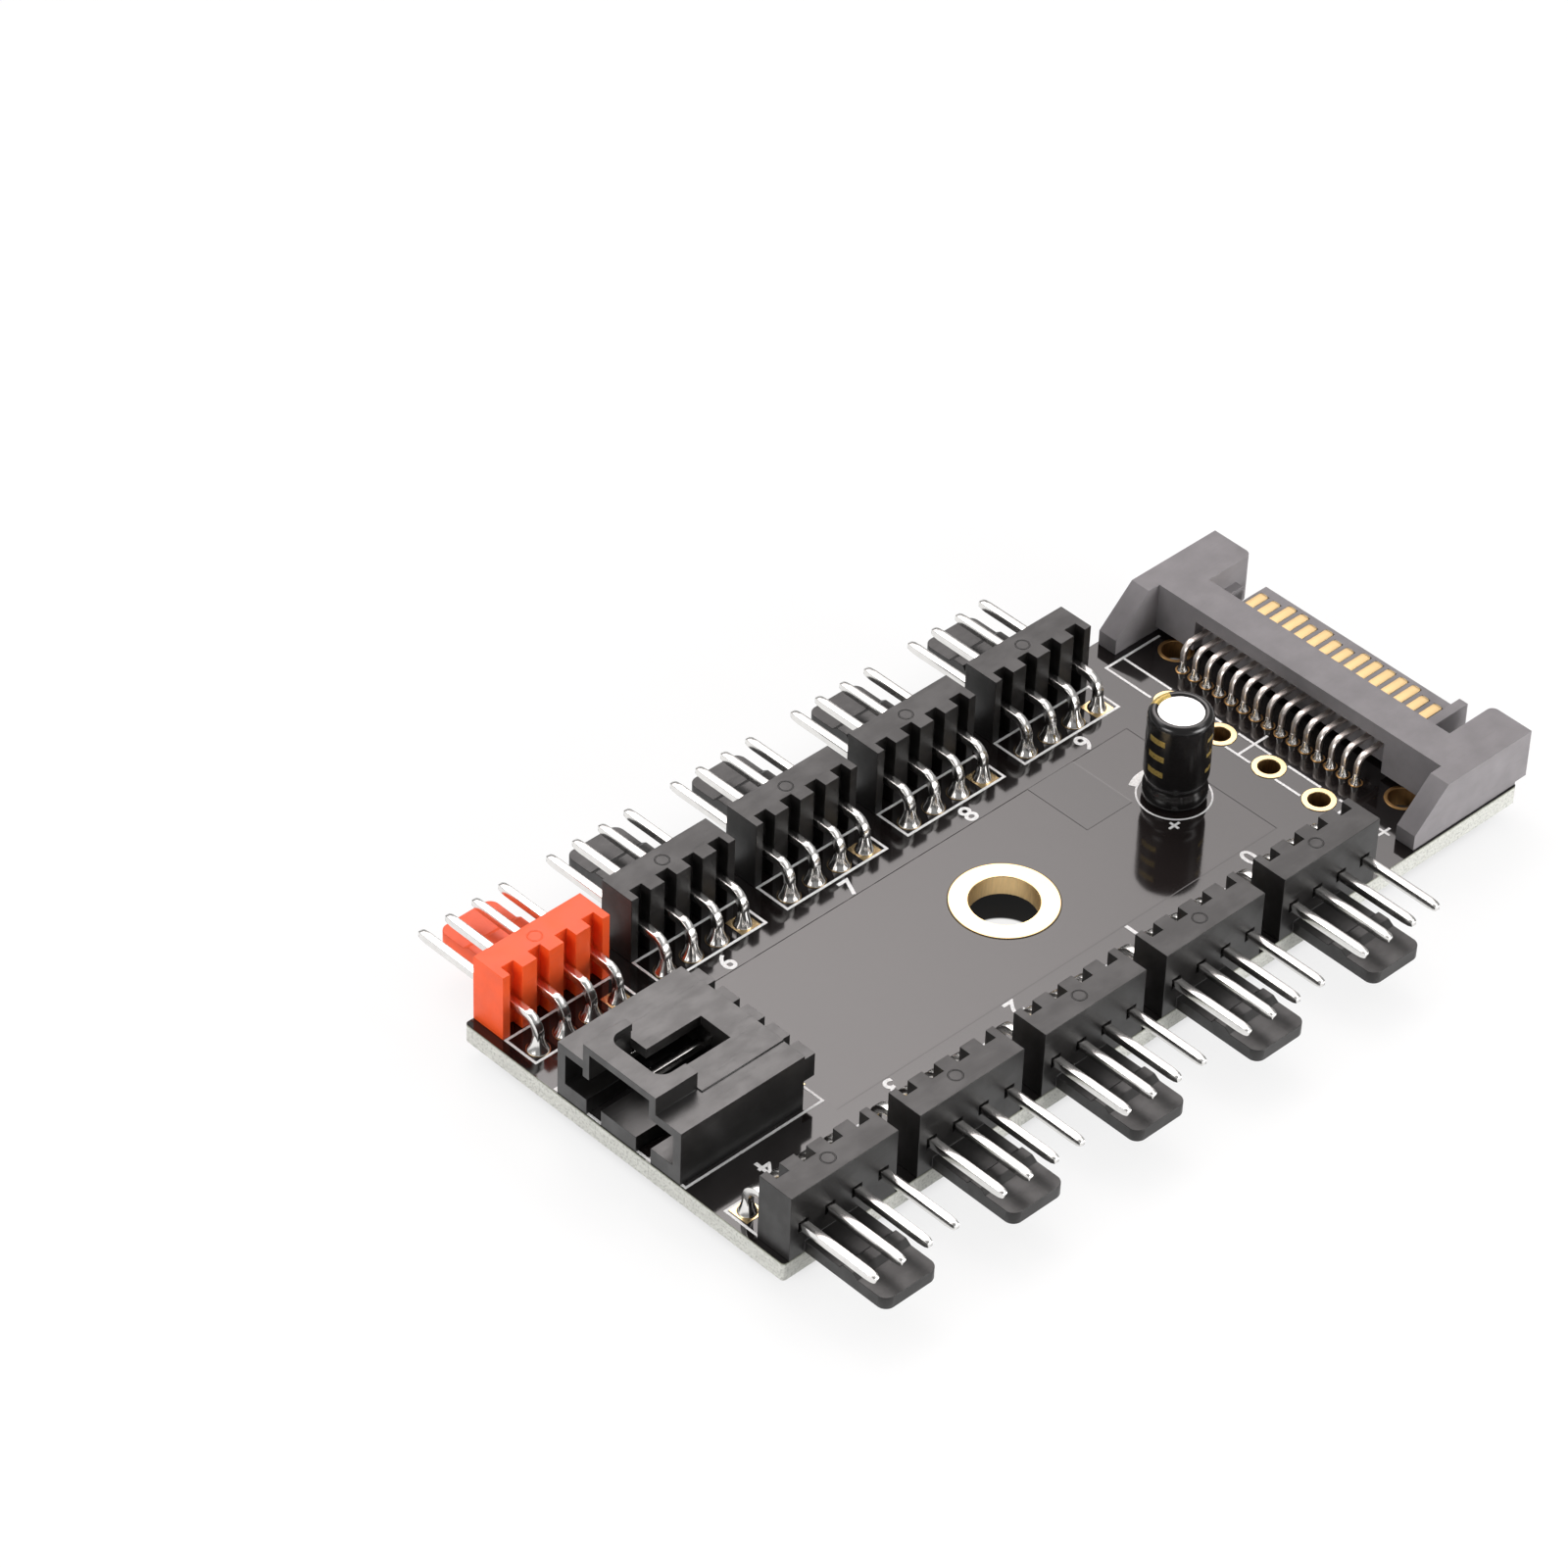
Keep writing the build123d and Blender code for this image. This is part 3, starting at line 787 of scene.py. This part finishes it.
class HUB_OT_plated_holes(HubOperator):
    """Builds the gold plated holes"""

    bl_idname = "fan_hub.plated_holes"
    bl_label = "Plated holes"

    def build(self, sizes, colours):
        """Turns the mounting ring, the power holes and the locating holes."""
        self.rings(colours, "mounting_hole", "mounting_hole_ring", [(0, 0)], *MOUNTING_HOLE)
        power = [(POWER_HOLE_X, y) for y in spread(4, POWER_HOLE_PITCH)]
        self.rings(colours, "power_holes", "power_hole_rings", power, *POWER_HOLE)
        low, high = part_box("locating_hole_rings")
        x = (low.x + high.x) / 2 / MM
        y = high.y / MM - LOCATING_HOLE[1]
        locating = [(x, -y), (x, y)]
        self.rings(colours, "locating_holes", "locating_hole_rings", locating, *LOCATING_HOLE)

    def rings(self, colours, name, node, places, bore, pad, steps):
        """Barrels with a rounded pad on each face of the board."""
        low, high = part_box(node)
        top = high.z / MM
        under = low.z / MM
        barrel = bore + PLATING
        profile = [
            (bore, under + 0.05), (bore + 0.05, under), (pad - 0.04, under), (pad, under + 0.03),
            (pad, BOARD_UNDER / MM), (barrel, BOARD_UNDER / MM), (barrel, 0), (pad, 0),
            (pad, top - 0.03), (pad - 0.04, top), (bore + 0.05, top), (bore, top - 0.05),
        ]
        bm = turned(profile, steps, closed=True)
        copies(bm, [Vector((x, y, 0)) * MM for x, y in places])
        add_piece(f"{name}_plating", bm, gold_finish(colours), [node], sharp=30)


class HUB_OT_fan_headers(HubOperator):
    """Builds the ten fan header mouldings"""

    bl_idname = "fan_hub.fan_headers"
    bl_label = "Fan header housings"

    def build(self, sizes, colours):
        """Rounds each housing's edges and leaves an ejector mark in its top."""
        for number in HEADERS:
            node = f"fan_header_{number}_housing"
            low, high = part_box(node)
            bm = moulded(node, sizes.housing_edge)
            row = header_row(number)
            across, inwards = EJECTOR_PLACE
            y = row * (BOARD_EDGE_Y - inwards * MM)
            radius, width = EJECTOR
            spot = Vector(((low.x + high.x) / 2 + across * MM, y, high.z))
            flat_ring(bm, radius - width, radius, -0.05, 0.012, 32, spot)
            red = number == RED_HEADER
            slot = "red_nylon" if red else "black_nylon"
            material = nylon_finish(colours, slot, *(RED_GLOSS if red else HEADER_GLOSS))
            even_shading(add_piece(f"fan_header_{number}_moulding", bm, material, [node]))


class HUB_OT_header_pins(HubOperator):
    """Builds the bent square pins"""

    bl_idname = "fan_hub.header_pins"
    bl_label = "Header pins"

    def build(self, sizes, colours):
        """Draws each header's pins from their tips to their tails."""
        material = tin_finish(colours, "tin_pins", PIN_GLOSS)
        for number in HEADERS:
            node = f"fan_header_{number}_pins"
            tails = pin_tails(number, sizes)
            turn = header_row(number) * pi / 2 + pi / 2
            self.pins(node, tails, sizes.header_bend, turn, sizes, material)
        self.pins("pwm_input_pins", input_tails(sizes), sizes.input_bend, -pi / 2, sizes, material)

    def pins(self, node, tails, bend, turn, sizes, material):
        """Four pins that point away from their tails."""
        low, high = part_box(node)
        span = high - low
        reach = (span.x if node == "pwm_input_pins" else span.y) - sizes.pin_size / 2
        height = high.z - sizes.pin_size / 2
        bm = square_pin(sizes, reach, bend, low.z - height)
        bmesh.ops.translate(bm, verts=bm.verts, vec=(0, -reach, height))
        bmesh.ops.rotate(bm, verts=bm.verts, cent=(0, 0, 0), matrix=Matrix.Rotation(turn, 3, "Z"))
        copies(bm, tails)
        add_piece(node.replace("_pins", "_tin_pins"), bm, material, [node], sharp=50)


class HUB_OT_control_input(HubOperator):
    """Builds the shrouded control input"""

    bl_idname = "fan_hub.control_input"
    bl_label = "Control input housing"

    def build(self, sizes, colours):
        """Rounds the shroud's edges."""
        bm = moulded("pwm_input_housing", sizes.shroud_edge)
        material = nylon_finish(colours, "black_nylon", *INPUT_GLOSS)
        even_shading(add_piece("pwm_input_moulding", bm, material, ["pwm_input_housing"]))


class HUB_OT_power_plug(HubOperator):
    """Builds the power plug and its fifteen contacts"""

    bl_idname = "fan_hub.power_plug"
    bl_label = "Power plug"

    def build(self, sizes, colours):
        """Rounds the housing's edges and draws the contacts."""
        bm = moulded("sata_housing", sizes.plug_edge)
        material = nylon_finish(colours, "grey_nylon", *PLUG_GLOSS)
        even_shading(add_piece("sata_moulding", bm, material, ["sata_housing"]))
        tails = contact_tails()
        for index, group in enumerate(CONTACT_GROUPS):
            node = f"sata_contacts_{group}"
            bm = bmesh.new()
            for place in range(index * 3, index * 3 + 3):
                join(bm, self.contact(sizes, node, tails[place], place in LONG_CONTACTS))
            add_piece(f"{node}_strips", bm, contact_finish(colours), [node], sharp=50)

    def contact(self, sizes, node, tail, is_long):
        """A strip with a rounded tip that narrows to a leg bent down to the board."""
        low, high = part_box(node)
        tip = CONTACT_TIPS_X[is_long]
        narrow = CONTACT_NARROWS_X
        height = high.z - CONTACT_THICKNESS / 2
        bm = bmesh.new()
        shares, moves = CONTACT_TIP
        border = bar_start(bm, CONTACT_WIDTH, CONTACT_THICKNESS, CONTACT_EDGE)
        border = pointed(bm, border, shares, moves, False)
        border = drawn(bm, border, (0, tip - narrow - sum(moves) * MM - NECK_TAPER, 0))
        border = drawn(bm, border, (0, NECK_TAPER, 0), (CONTACT_TAIL / CONTACT_WIDTH, 1, 1))
        border = drawn(bm, border, (0, narrow - tail.x - sizes.contact_bend, 0))
        border = bent_down(bm, border, sizes.contact_bend, sizes.bend_steps)
        border = drawn(bm, border, (0, 0, low.z - height + sizes.contact_bend))
        closed_end(bm, border)
        place = Matrix.Translation((tip, tail.y, height)) @ Matrix.Rotation(pi / 2, 4, "Z")
        bmesh.ops.transform(bm, matrix=place, verts=bm.verts)
        return bm


class HUB_OT_solder(HubOperator):
    """Builds the pads and the solder on both faces of the board"""

    bl_idname = "fan_hub.solder"
    bl_label = "Pads and solder"

    def build(self, sizes, colours):
        """Solders every pin, contact and lead to its pads."""
        for number in HEADERS:
            tails = pin_tails(number, sizes)
            first = tails[-1] if header_row(number) > 0 else tails[0]
            self.joints(f"fan_header_{number}", tails, first, sizes, colours, *HEADER_JOINT)
        tails = input_tails(sizes)
        self.joints("pwm_input", tails, tails[0], sizes, colours, *HEADER_JOINT)
        self.joints("sata", contact_tails(), None, sizes, colours, *PLUG_JOINT)
        self.joints("capacitor", capacitor_tails(), None, sizes, colours, *LEAD_JOINT, (-1,))

    def joints(self, name, tails, first, sizes, colours, scale, wetted, faces=(1, -1)):
        """Pads with a concave cone of solder on each; the first pad of a header is square."""
        pads = bmesh.new()
        solder = bmesh.new()
        for tail in tails:
            square = tail == first
            share = SQUARE_WETTED if square else wetted
            for face in faces:
                level = BOARD_TOP if face > 0 else BOARD_UNDER
                up = Matrix.Translation((tail.x, tail.y, level)) @ Matrix.Diagonal((1, 1, face, 1))
                self.add(pads, self.pad(sizes, scale, square), up)
                rise = sizes.solder_height * (1.0 if face > 0 else UNDER_SOLDER)
                self.add(solder, self.cone(sizes, scale, share, rise), up)
        add_piece(f"{name}_pads", pads, gold_finish(colours), sharp=40)
        material = tin_finish(colours, "solder", SOLDER_GLOSS)
        add_piece(f"{name}_solder", solder, material, sharp=60)

    def add(self, bm, other, place):
        """Sets one small shape in its place, its faces outwards."""
        bmesh.ops.transform(other, matrix=place, verts=other.verts)
        bmesh.ops.recalc_face_normals(other, faces=other.faces)
        join(bm, other)

    def pad(self, sizes, scale, square):
        """Thin round or square pad."""
        radius = sizes.pad_radius * scale
        height = sizes.pad_lift + PAD_SINK
        bm = bmesh.new()
        if square:
            made = bmesh.ops.create_cube(bm, size=1)["verts"]
            bmesh.ops.scale(bm, verts=made, vec=(2 * radius, 2 * radius, height))
        else:
            made = bmesh.ops.create_cone(
                bm, cap_ends=True, segments=20, radius1=radius, radius2=radius, depth=height
            )["verts"]
        bmesh.ops.translate(bm, verts=made, vec=(0, 0, height / 2 - PAD_SINK))
        return bm

    def cone(self, sizes, scale, share, rise):
        """Concave cone that wets a share of the pad at its foot and the pin at its top."""
        base = sizes.pad_radius * scale * share / MM
        neck = 0.335 * scale
        rise = rise * scale / MM
        lift = sizes.pad_lift / MM
        flare = (
            (1.0, 0.025), (0.90, 0.09), (0.72, 0.21), (0.53, 0.36), (0.35, 0.54), (0.18, 0.75), (0, 1)
        )
        profile = [(0, 0), (base, 0)]
        profile += [(neck + (base - neck) * out, lift + rise * up) for out, up in flare]
        profile += [(0, lift + rise + 0.02)]
        return turned(profile, 20)


class HUB_OT_capacitor(HubOperator):
    """Builds the capacitor"""

    bl_idname = "fan_hub.capacitor"
    bl_label = "Capacitor"

    def build(self, sizes, colours):
        """Turns the can and its sleeve, and rounds its leads."""
        sleeve = [
            (2.13, 0.34), (2.26, 0.30), (2.40, 0.34), (2.48, 0.46), (2.50, 0.65),
            (2.50, 0.95), (2.47, 1.18), (2.39, 1.40), (2.30, 1.58), (2.26, 1.74),
            (2.28, 1.90), (2.34, 2.08), (2.42, 2.28), (2.48, 2.50), (2.50, 2.75), (2.50, 7.58),
            (2.47, 7.78), (2.40, 7.95), (2.28, 8.09), (2.13, 8.17), (1.99, 8.195),
            (1.87, 8.17), (1.79, 8.12), (1.75, 8.06), (1.78, 8.045), (2.13, 8.045),
        ]
        can = [
            (0, 0.31), (1.9, 0.31), (2.10, 0.42), (2.10, 7.60), (2.05, 7.80),
            (1.93, 7.95), (1.80, 8.03), (1.66, 8.045), (1.55, 8.03), (0, 8.02),
        ]
        axis = capacitor_axis()
        for name, profile, closed, material, slot in (
            ("sleeve", sleeve, True, sleeve_finish(colours), "sleeve_film"),
            ("can", can, False, can_finish(colours), "aluminium_can"),
        ):
            bm = turned(profile, 72, closed)
            bmesh.ops.translate(bm, verts=bm.verts, vec=axis)
            add_piece(f"capacitor_{name}_turned", bm, material, [f"capacitor_{name}"], sharp=50)
        low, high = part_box("capacitor_leads")
        foot = low.z / MM
        profile = [(0, foot), (0.17, foot), (0.25, foot + 0.1), (0.25, 0.32), (0, 0.32)]
        bm = turned(profile, 20)
        copies(bm, capacitor_tails())
        material = tin_finish(colours, "tin_pins", PIN_GLOSS)
        add_piece("capacitor_lead_wires", bm, material, ["capacitor_leads"], sharp=50)


class HUB_OT_print(HubOperator):
    """Builds the white print on the board"""

    bl_idname = "fan_hub.print"
    bl_label = "Board print"

    def build(self, sizes, colours):
        """Draws the outlines, the polarity marks and one plain number by each fan header."""
        self.sizes = sizes
        bm = bmesh.new()
        for number in HEADERS:
            low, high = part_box(f"fan_header_{number}_housing")
            row = header_row(number)
            left, right = (side / MM + off for side, off in zip((low.x, high.x), HEADER_PRINT_X))
            self.box(bm, left, right, *(row * y for y in HEADER_PRINT_Y))
            self.digit(bm, str(number), (left + right) / 2, row * DIGIT_Y, row)
        self.box(bm, *INPUT_PRINT)
        self.plug_outline(bm)
        self.cross(bm, *PLUG_PLUS)
        axis = capacitor_axis()
        x, y, size = CAPACITOR_PLUS
        self.cross(bm, axis.x / MM + x, y, size)
        flat_ring(bm, *CAPACITOR_RING, -SINK, sizes.ink_lift / MM, 72, axis)
        self.wedge(bm, axis)
        add_piece("board_print", bm, ink_finish(colours), sharp=40)

    def line(self, bm, start, end, reach=0.5):
        """Printed line between two points in millimetres, longer at each end by a share of its width."""
        start, end = Vector(start) * MM, Vector(end) * MM
        along = end - start
        width = self.sizes.ink_width
        lift = self.sizes.ink_lift + SINK * MM
        made = bmesh.ops.create_cube(bm, size=1)["verts"]
        bmesh.ops.scale(bm, verts=made, vec=(along.length + 2 * reach * width, width, lift))
        turn = Matrix.Rotation(along.angle_signed(Vector((1, 0))), 3, "Z")
        bmesh.ops.rotate(bm, verts=made, cent=(0, 0, 0), matrix=turn)
        middle = ((start + end) / 2).to_3d()
        bmesh.ops.translate(bm, verts=made, vec=middle + Vector((0, 0, lift / 2 - SINK * MM)))

    def box(self, bm, left, right, near, far):
        """Printed outline whose short sides stop at its long ones."""
        for y in (near, far):
            self.line(bm, (left, y), (right, y))
        for x in (left, right):
            self.line(bm, (x, near), (x, far), BUTT)

    def plug_outline(self, bm):
        """Two long lines that stop at the power holes' pads, and the short ones that join them."""
        near, far = PLUG_PRINT_X
        foot, end = PLUG_PRINT_Y
        short, long = PLUG_PRINT_ENDS
        for x in (near, far):
            chord = (PAD_CLEARANCE ** 2 - (x - POWER_HOLE_X) ** 2) ** 0.5
            start = foot
            for y in spread(4, POWER_HOLE_PITCH):
                self.line(bm, (x, start), (x, y - chord), BUTT if start == foot else 0)
                start = y + chord
            self.line(bm, (x, start), (x, end), BUTT)
        self.line(bm, (near, end), (long, end))
        self.line(bm, (near, foot), (far, foot))
        self.line(bm, (near, 0.0), (far, 0.0), BUTT)
        self.line(bm, (far, 0.0), (short, 0.0), BUTT)

    def cross(self, bm, x, y, size):
        """Printed plus sign, turned to read from the board's sides."""
        self.line(bm, (x - size / 2, y), (x + size / 2, y), 0)
        for end in (-size / 2, size / 2):
            self.line(bm, (x, y), (x, y + end), BUTT)

    def wedge(self, bm, axis):
        """Filled part of the capacitor's outline on the side of its negative lead."""
        part = bmesh.new()
        lift = self.sizes.ink_lift + SINK * MM
        start, sweep = WEDGE_TURN
        ends = [part.verts.new((radius * MM, 0, -SINK * MM)) for radius in WEDGE]
        line = part.edges.new(ends)
        bmesh.ops.spin(
            part, geom=[*ends, line], cent=(0, 0, 0), axis=(0, 0, 1),
            angle=radians(sweep), steps=16, use_duplicate=False,
        )
        made = bmesh.ops.extrude_face_region(part, geom=part.faces[:])["geom"]
        bmesh.ops.translate(part, verts=only(bmesh.types.BMVert, made), vec=(0, 0, lift))
        bmesh.ops.recalc_face_normals(part, faces=part.faces)
        place = Matrix.Translation(axis) @ Matrix.Rotation(radians(start), 4, "Z")
        bmesh.ops.transform(part, matrix=place, verts=part.verts)
        join(bm, part)

    def digit(self, bm, text, x, y, row):
        """Printed number that reads from the board's middle."""
        curve = bpy.data.curves.new("number", "FONT")
        curve.body = text
        curve.size = self.sizes.digit_height
        curve.extrude = self.sizes.ink_lift
        curve.align_x = "CENTER"
        curve.align_y = "CENTER"
        curve.resolution_u = 4
        curve.offset = DIGIT_BOLD * MM
        holder = bpy.data.objects.new("number", curve)
        mesh = bpy.data.meshes.new_from_object(holder)
        part = bmesh.new()
        part.from_mesh(mesh)
        bmesh.ops.remove_doubles(part, verts=part.verts, dist=MERGE)
        turn = 0 if row > 0 else pi
        place = Matrix.Translation((x * MM, y * MM, 0)) @ Matrix.Rotation(turn, 4, "Z")
        bmesh.ops.transform(part, matrix=place, verts=part.verts)
        join(bm, part)
        bpy.data.objects.remove(holder)
        bpy.data.curves.remove(curve)
        bpy.data.meshes.remove(mesh)


class HUB_OT_stage(HubOperator):
    """Sets the floor, the lights and the camera"""

    bl_idname = "fan_hub.stage"
    bl_label = "Stage"

    def build(self, sizes, colours):
        """Pale floor, soft panels over and beside the board, and the photograph's camera."""
        self.floor(colours)
        for name, settings in LIGHTS.items():
            self.light(name, *settings)
        self.world()
        self.camera()
        bpy.context.scene.view_settings.view_transform = "Standard"

    def floor(self, colours):
        """White floor with a soft shadow, a painted shadow under the board, and a painted lit spot under
        its hole.
        """
        mesh = bpy.data.meshes.new("floor")
        bm = bmesh.new()
        bmesh.ops.create_grid(bm, x_segments=1, y_segments=1, size=3)
        bmesh.ops.translate(bm, verts=bm.verts, vec=(0, 0, CAD_BOX[0].z))
        bm.to_mesh(mesh)
        bm.free()
        floor = bpy.data.objects.new("floor", mesh)
        bpy.context.scene.collection.objects.link(floor)
        material = bpy.data.materials.new("pale_floor")
        material.use_nodes = True
        graph = Graph(material.node_tree)
        ray = graph.node("ShaderNodeLightPath")
        seen = Value(graph, ray.outputs["Is Camera Ray"])
        for kind in ("Is Glossy Ray", "Is Transmission Ray"):
            seen = graph.math("MAXIMUM", seen, Value(graph, ray.outputs[kind]))
        x, y, _ = graph.split(graph.value("ShaderNodeTexCoord", output="Object"))
        low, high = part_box("pcb")
        middle = (low + high) / 2
        # Painted shadow under the board's outline with a soft edge, left out at a painted lit spot under
        # the mounting hole
        under = graph.ramp(high.x - middle.x - abs(x - middle.x), 0.0, FLOOR_PAINTED_SHADOW_EDGE)
        under = under * graph.ramp(high.y - middle.y - abs(y - middle.y), 0.0, FLOOR_PAINTED_SHADOW_EDGE)
        across, along = x + FLOOR_PAINTED_SPOT_OFFSET, y + FLOOR_PAINTED_SPOT_OFFSET
        from_painted_spot = graph.math("SQRT", across * across + along * along)
        painted_shadow = under * graph.ramp(from_painted_spot, *FLOOR_PAINTED_SPOT)
        less_glow, less_paint = FLOOR_PAINTED_SHADOW
        glow = graph.value("ShaderNodeEmission", inputs={"Strength": 1 - less_glow * painted_shadow})
        pale = graph.blend(painted_shadow * less_paint, tuple(colours.floor), (0, 0, 0))
        lit = graph.value("ShaderNodeBsdfDiffuse", inputs={"Color": pale})
        mixed = graph.value("ShaderNodeMixShader", inputs={0: seen * FLOOR_GLOW, 1: lit, 2: glow})
        graph.node("ShaderNodeOutputMaterial", inputs={"Surface": mixed})
        mesh.materials.append(material)

    def light(self, name, distance, direction, along, size, brightness, colour):
        """Soft panel that faces the board, brightest at its middle, of a brightness seen in a mirror."""
        data = bpy.data.lights.new(name, "AREA")
        data.shape = "RECTANGLE"
        data.size, data.size_y = size
        data.energy = brightness * 4 * size[0] * size[1]
        data.color = colour
        data.use_nodes = True
        graph = Graph(data.node_tree)
        u, v, _ = graph.split(graph.value("ShaderNodeNewGeometry", output="Parametric"))
        off = graph.math("SQRT", (u - 0.5) * (u - 0.5) + (v - 0.5) * (v - 0.5))
        lost, reach = PANEL_FALL
        strength = 1 - lost * graph.ramp(off, 0.0, reach)
        glow = graph.value("ShaderNodeEmission", inputs={"Strength": strength})
        graph.node("ShaderNodeOutputLight", inputs={"Surface": glow})
        light = bpy.data.objects.new(name, data)
        towards = Vector(direction).normalized()
        across = towards.cross(Vector(along)).normalized()
        turn = Matrix((across.cross(towards), across, towards)).transposed().to_4x4()
        light.matrix_world = Matrix.Translation(towards * distance) @ turn
        bpy.context.scene.collection.objects.link(light)

    def world(self):
        """Even grey surround."""
        world = bpy.data.worlds.new("surround")
        world.use_nodes = True
        back = world.node_tree.nodes["Background"]
        back.inputs["Color"].default_value = (1, 1, 1, 1)
        back.inputs["Strength"].default_value = SURROUND
        bpy.context.scene.world = world

    def camera(self):
        """The photograph's view."""
        azimuth, elevation, roll = (radians(angle) for angle in VIEW)
        back = Vector((sin(azimuth) * cos(elevation), -cos(azimuth) * cos(elevation), sin(elevation)))
        right = Vector((cos(azimuth), sin(azimuth), 0))
        up = back.cross(right)
        tilted_right = cos(roll) * right + sin(roll) * up
        tilted_up = cos(roll) * up - sin(roll) * right
        data = bpy.data.cameras.new("camera")
        data.sensor_width = 36.0
        data.lens = FOCAL_PIXELS / IMAGE_PIXELS * data.sensor_width
        data.clip_start = 0.01
        camera = bpy.data.objects.new("camera", data)
        turn = Matrix((tilted_right, tilted_up, back)).transposed().to_4x4()
        camera.matrix_world = Matrix.Translation(VIEW_TARGET + back * VIEW_DISTANCE) @ turn
        bpy.context.scene.collection.objects.link(camera)
        bpy.context.scene.camera = camera


OPERATORS = (
    HUB_OT_board,
    HUB_OT_plated_holes,
    HUB_OT_fan_headers,
    HUB_OT_header_pins,
    HUB_OT_control_input,
    HUB_OT_power_plug,
    HUB_OT_solder,
    HUB_OT_capacitor,
    HUB_OT_print,
    HUB_OT_stage,
)


class HUB_PT_panel(bpy.types.Panel):
    """Lists the hub's pieces, sizes and colours"""

    bl_idname = "HUB_PT_panel"
    bl_label = "Fan hub"
    bl_space_type = "VIEW_3D"
    bl_region_type = "UI"
    bl_category = "Fan hub"

    def draw(self, context):
        """Buttons for the pieces, then every size and colour."""
        layout = self.layout
        for operator in OPERATORS:
            layout.operator(operator.bl_idname)
        for group in (context.scene.hub_sizes, context.scene.hub_colours):
            box = layout.box()
            for name in group.__annotations__:
                box.prop(group, name)


CLASSES = (HubSizes, HubColours, *OPERATORS, HUB_PT_panel)


def register():
    """Registers the classes and gives each scene its sizes and colours."""
    for cls in CLASSES:
        bpy.utils.register_class(cls)
    bpy.types.Scene.hub_sizes = PointerProperty(type=HubSizes)
    bpy.types.Scene.hub_colours = PointerProperty(type=HubColours)


def unregister():
    """Takes the classes out again."""
    del bpy.types.Scene.hub_colours
    del bpy.types.Scene.hub_sizes
    for cls in reversed(CLASSES):
        bpy.utils.unregister_class(cls)


def main():
    """Builds every piece in order."""
    register()
    for operator in OPERATORS:
        group, name = operator.bl_idname.split(".")
        getattr(getattr(bpy.ops, group), name)()


if __name__ == "__main__":
    main()
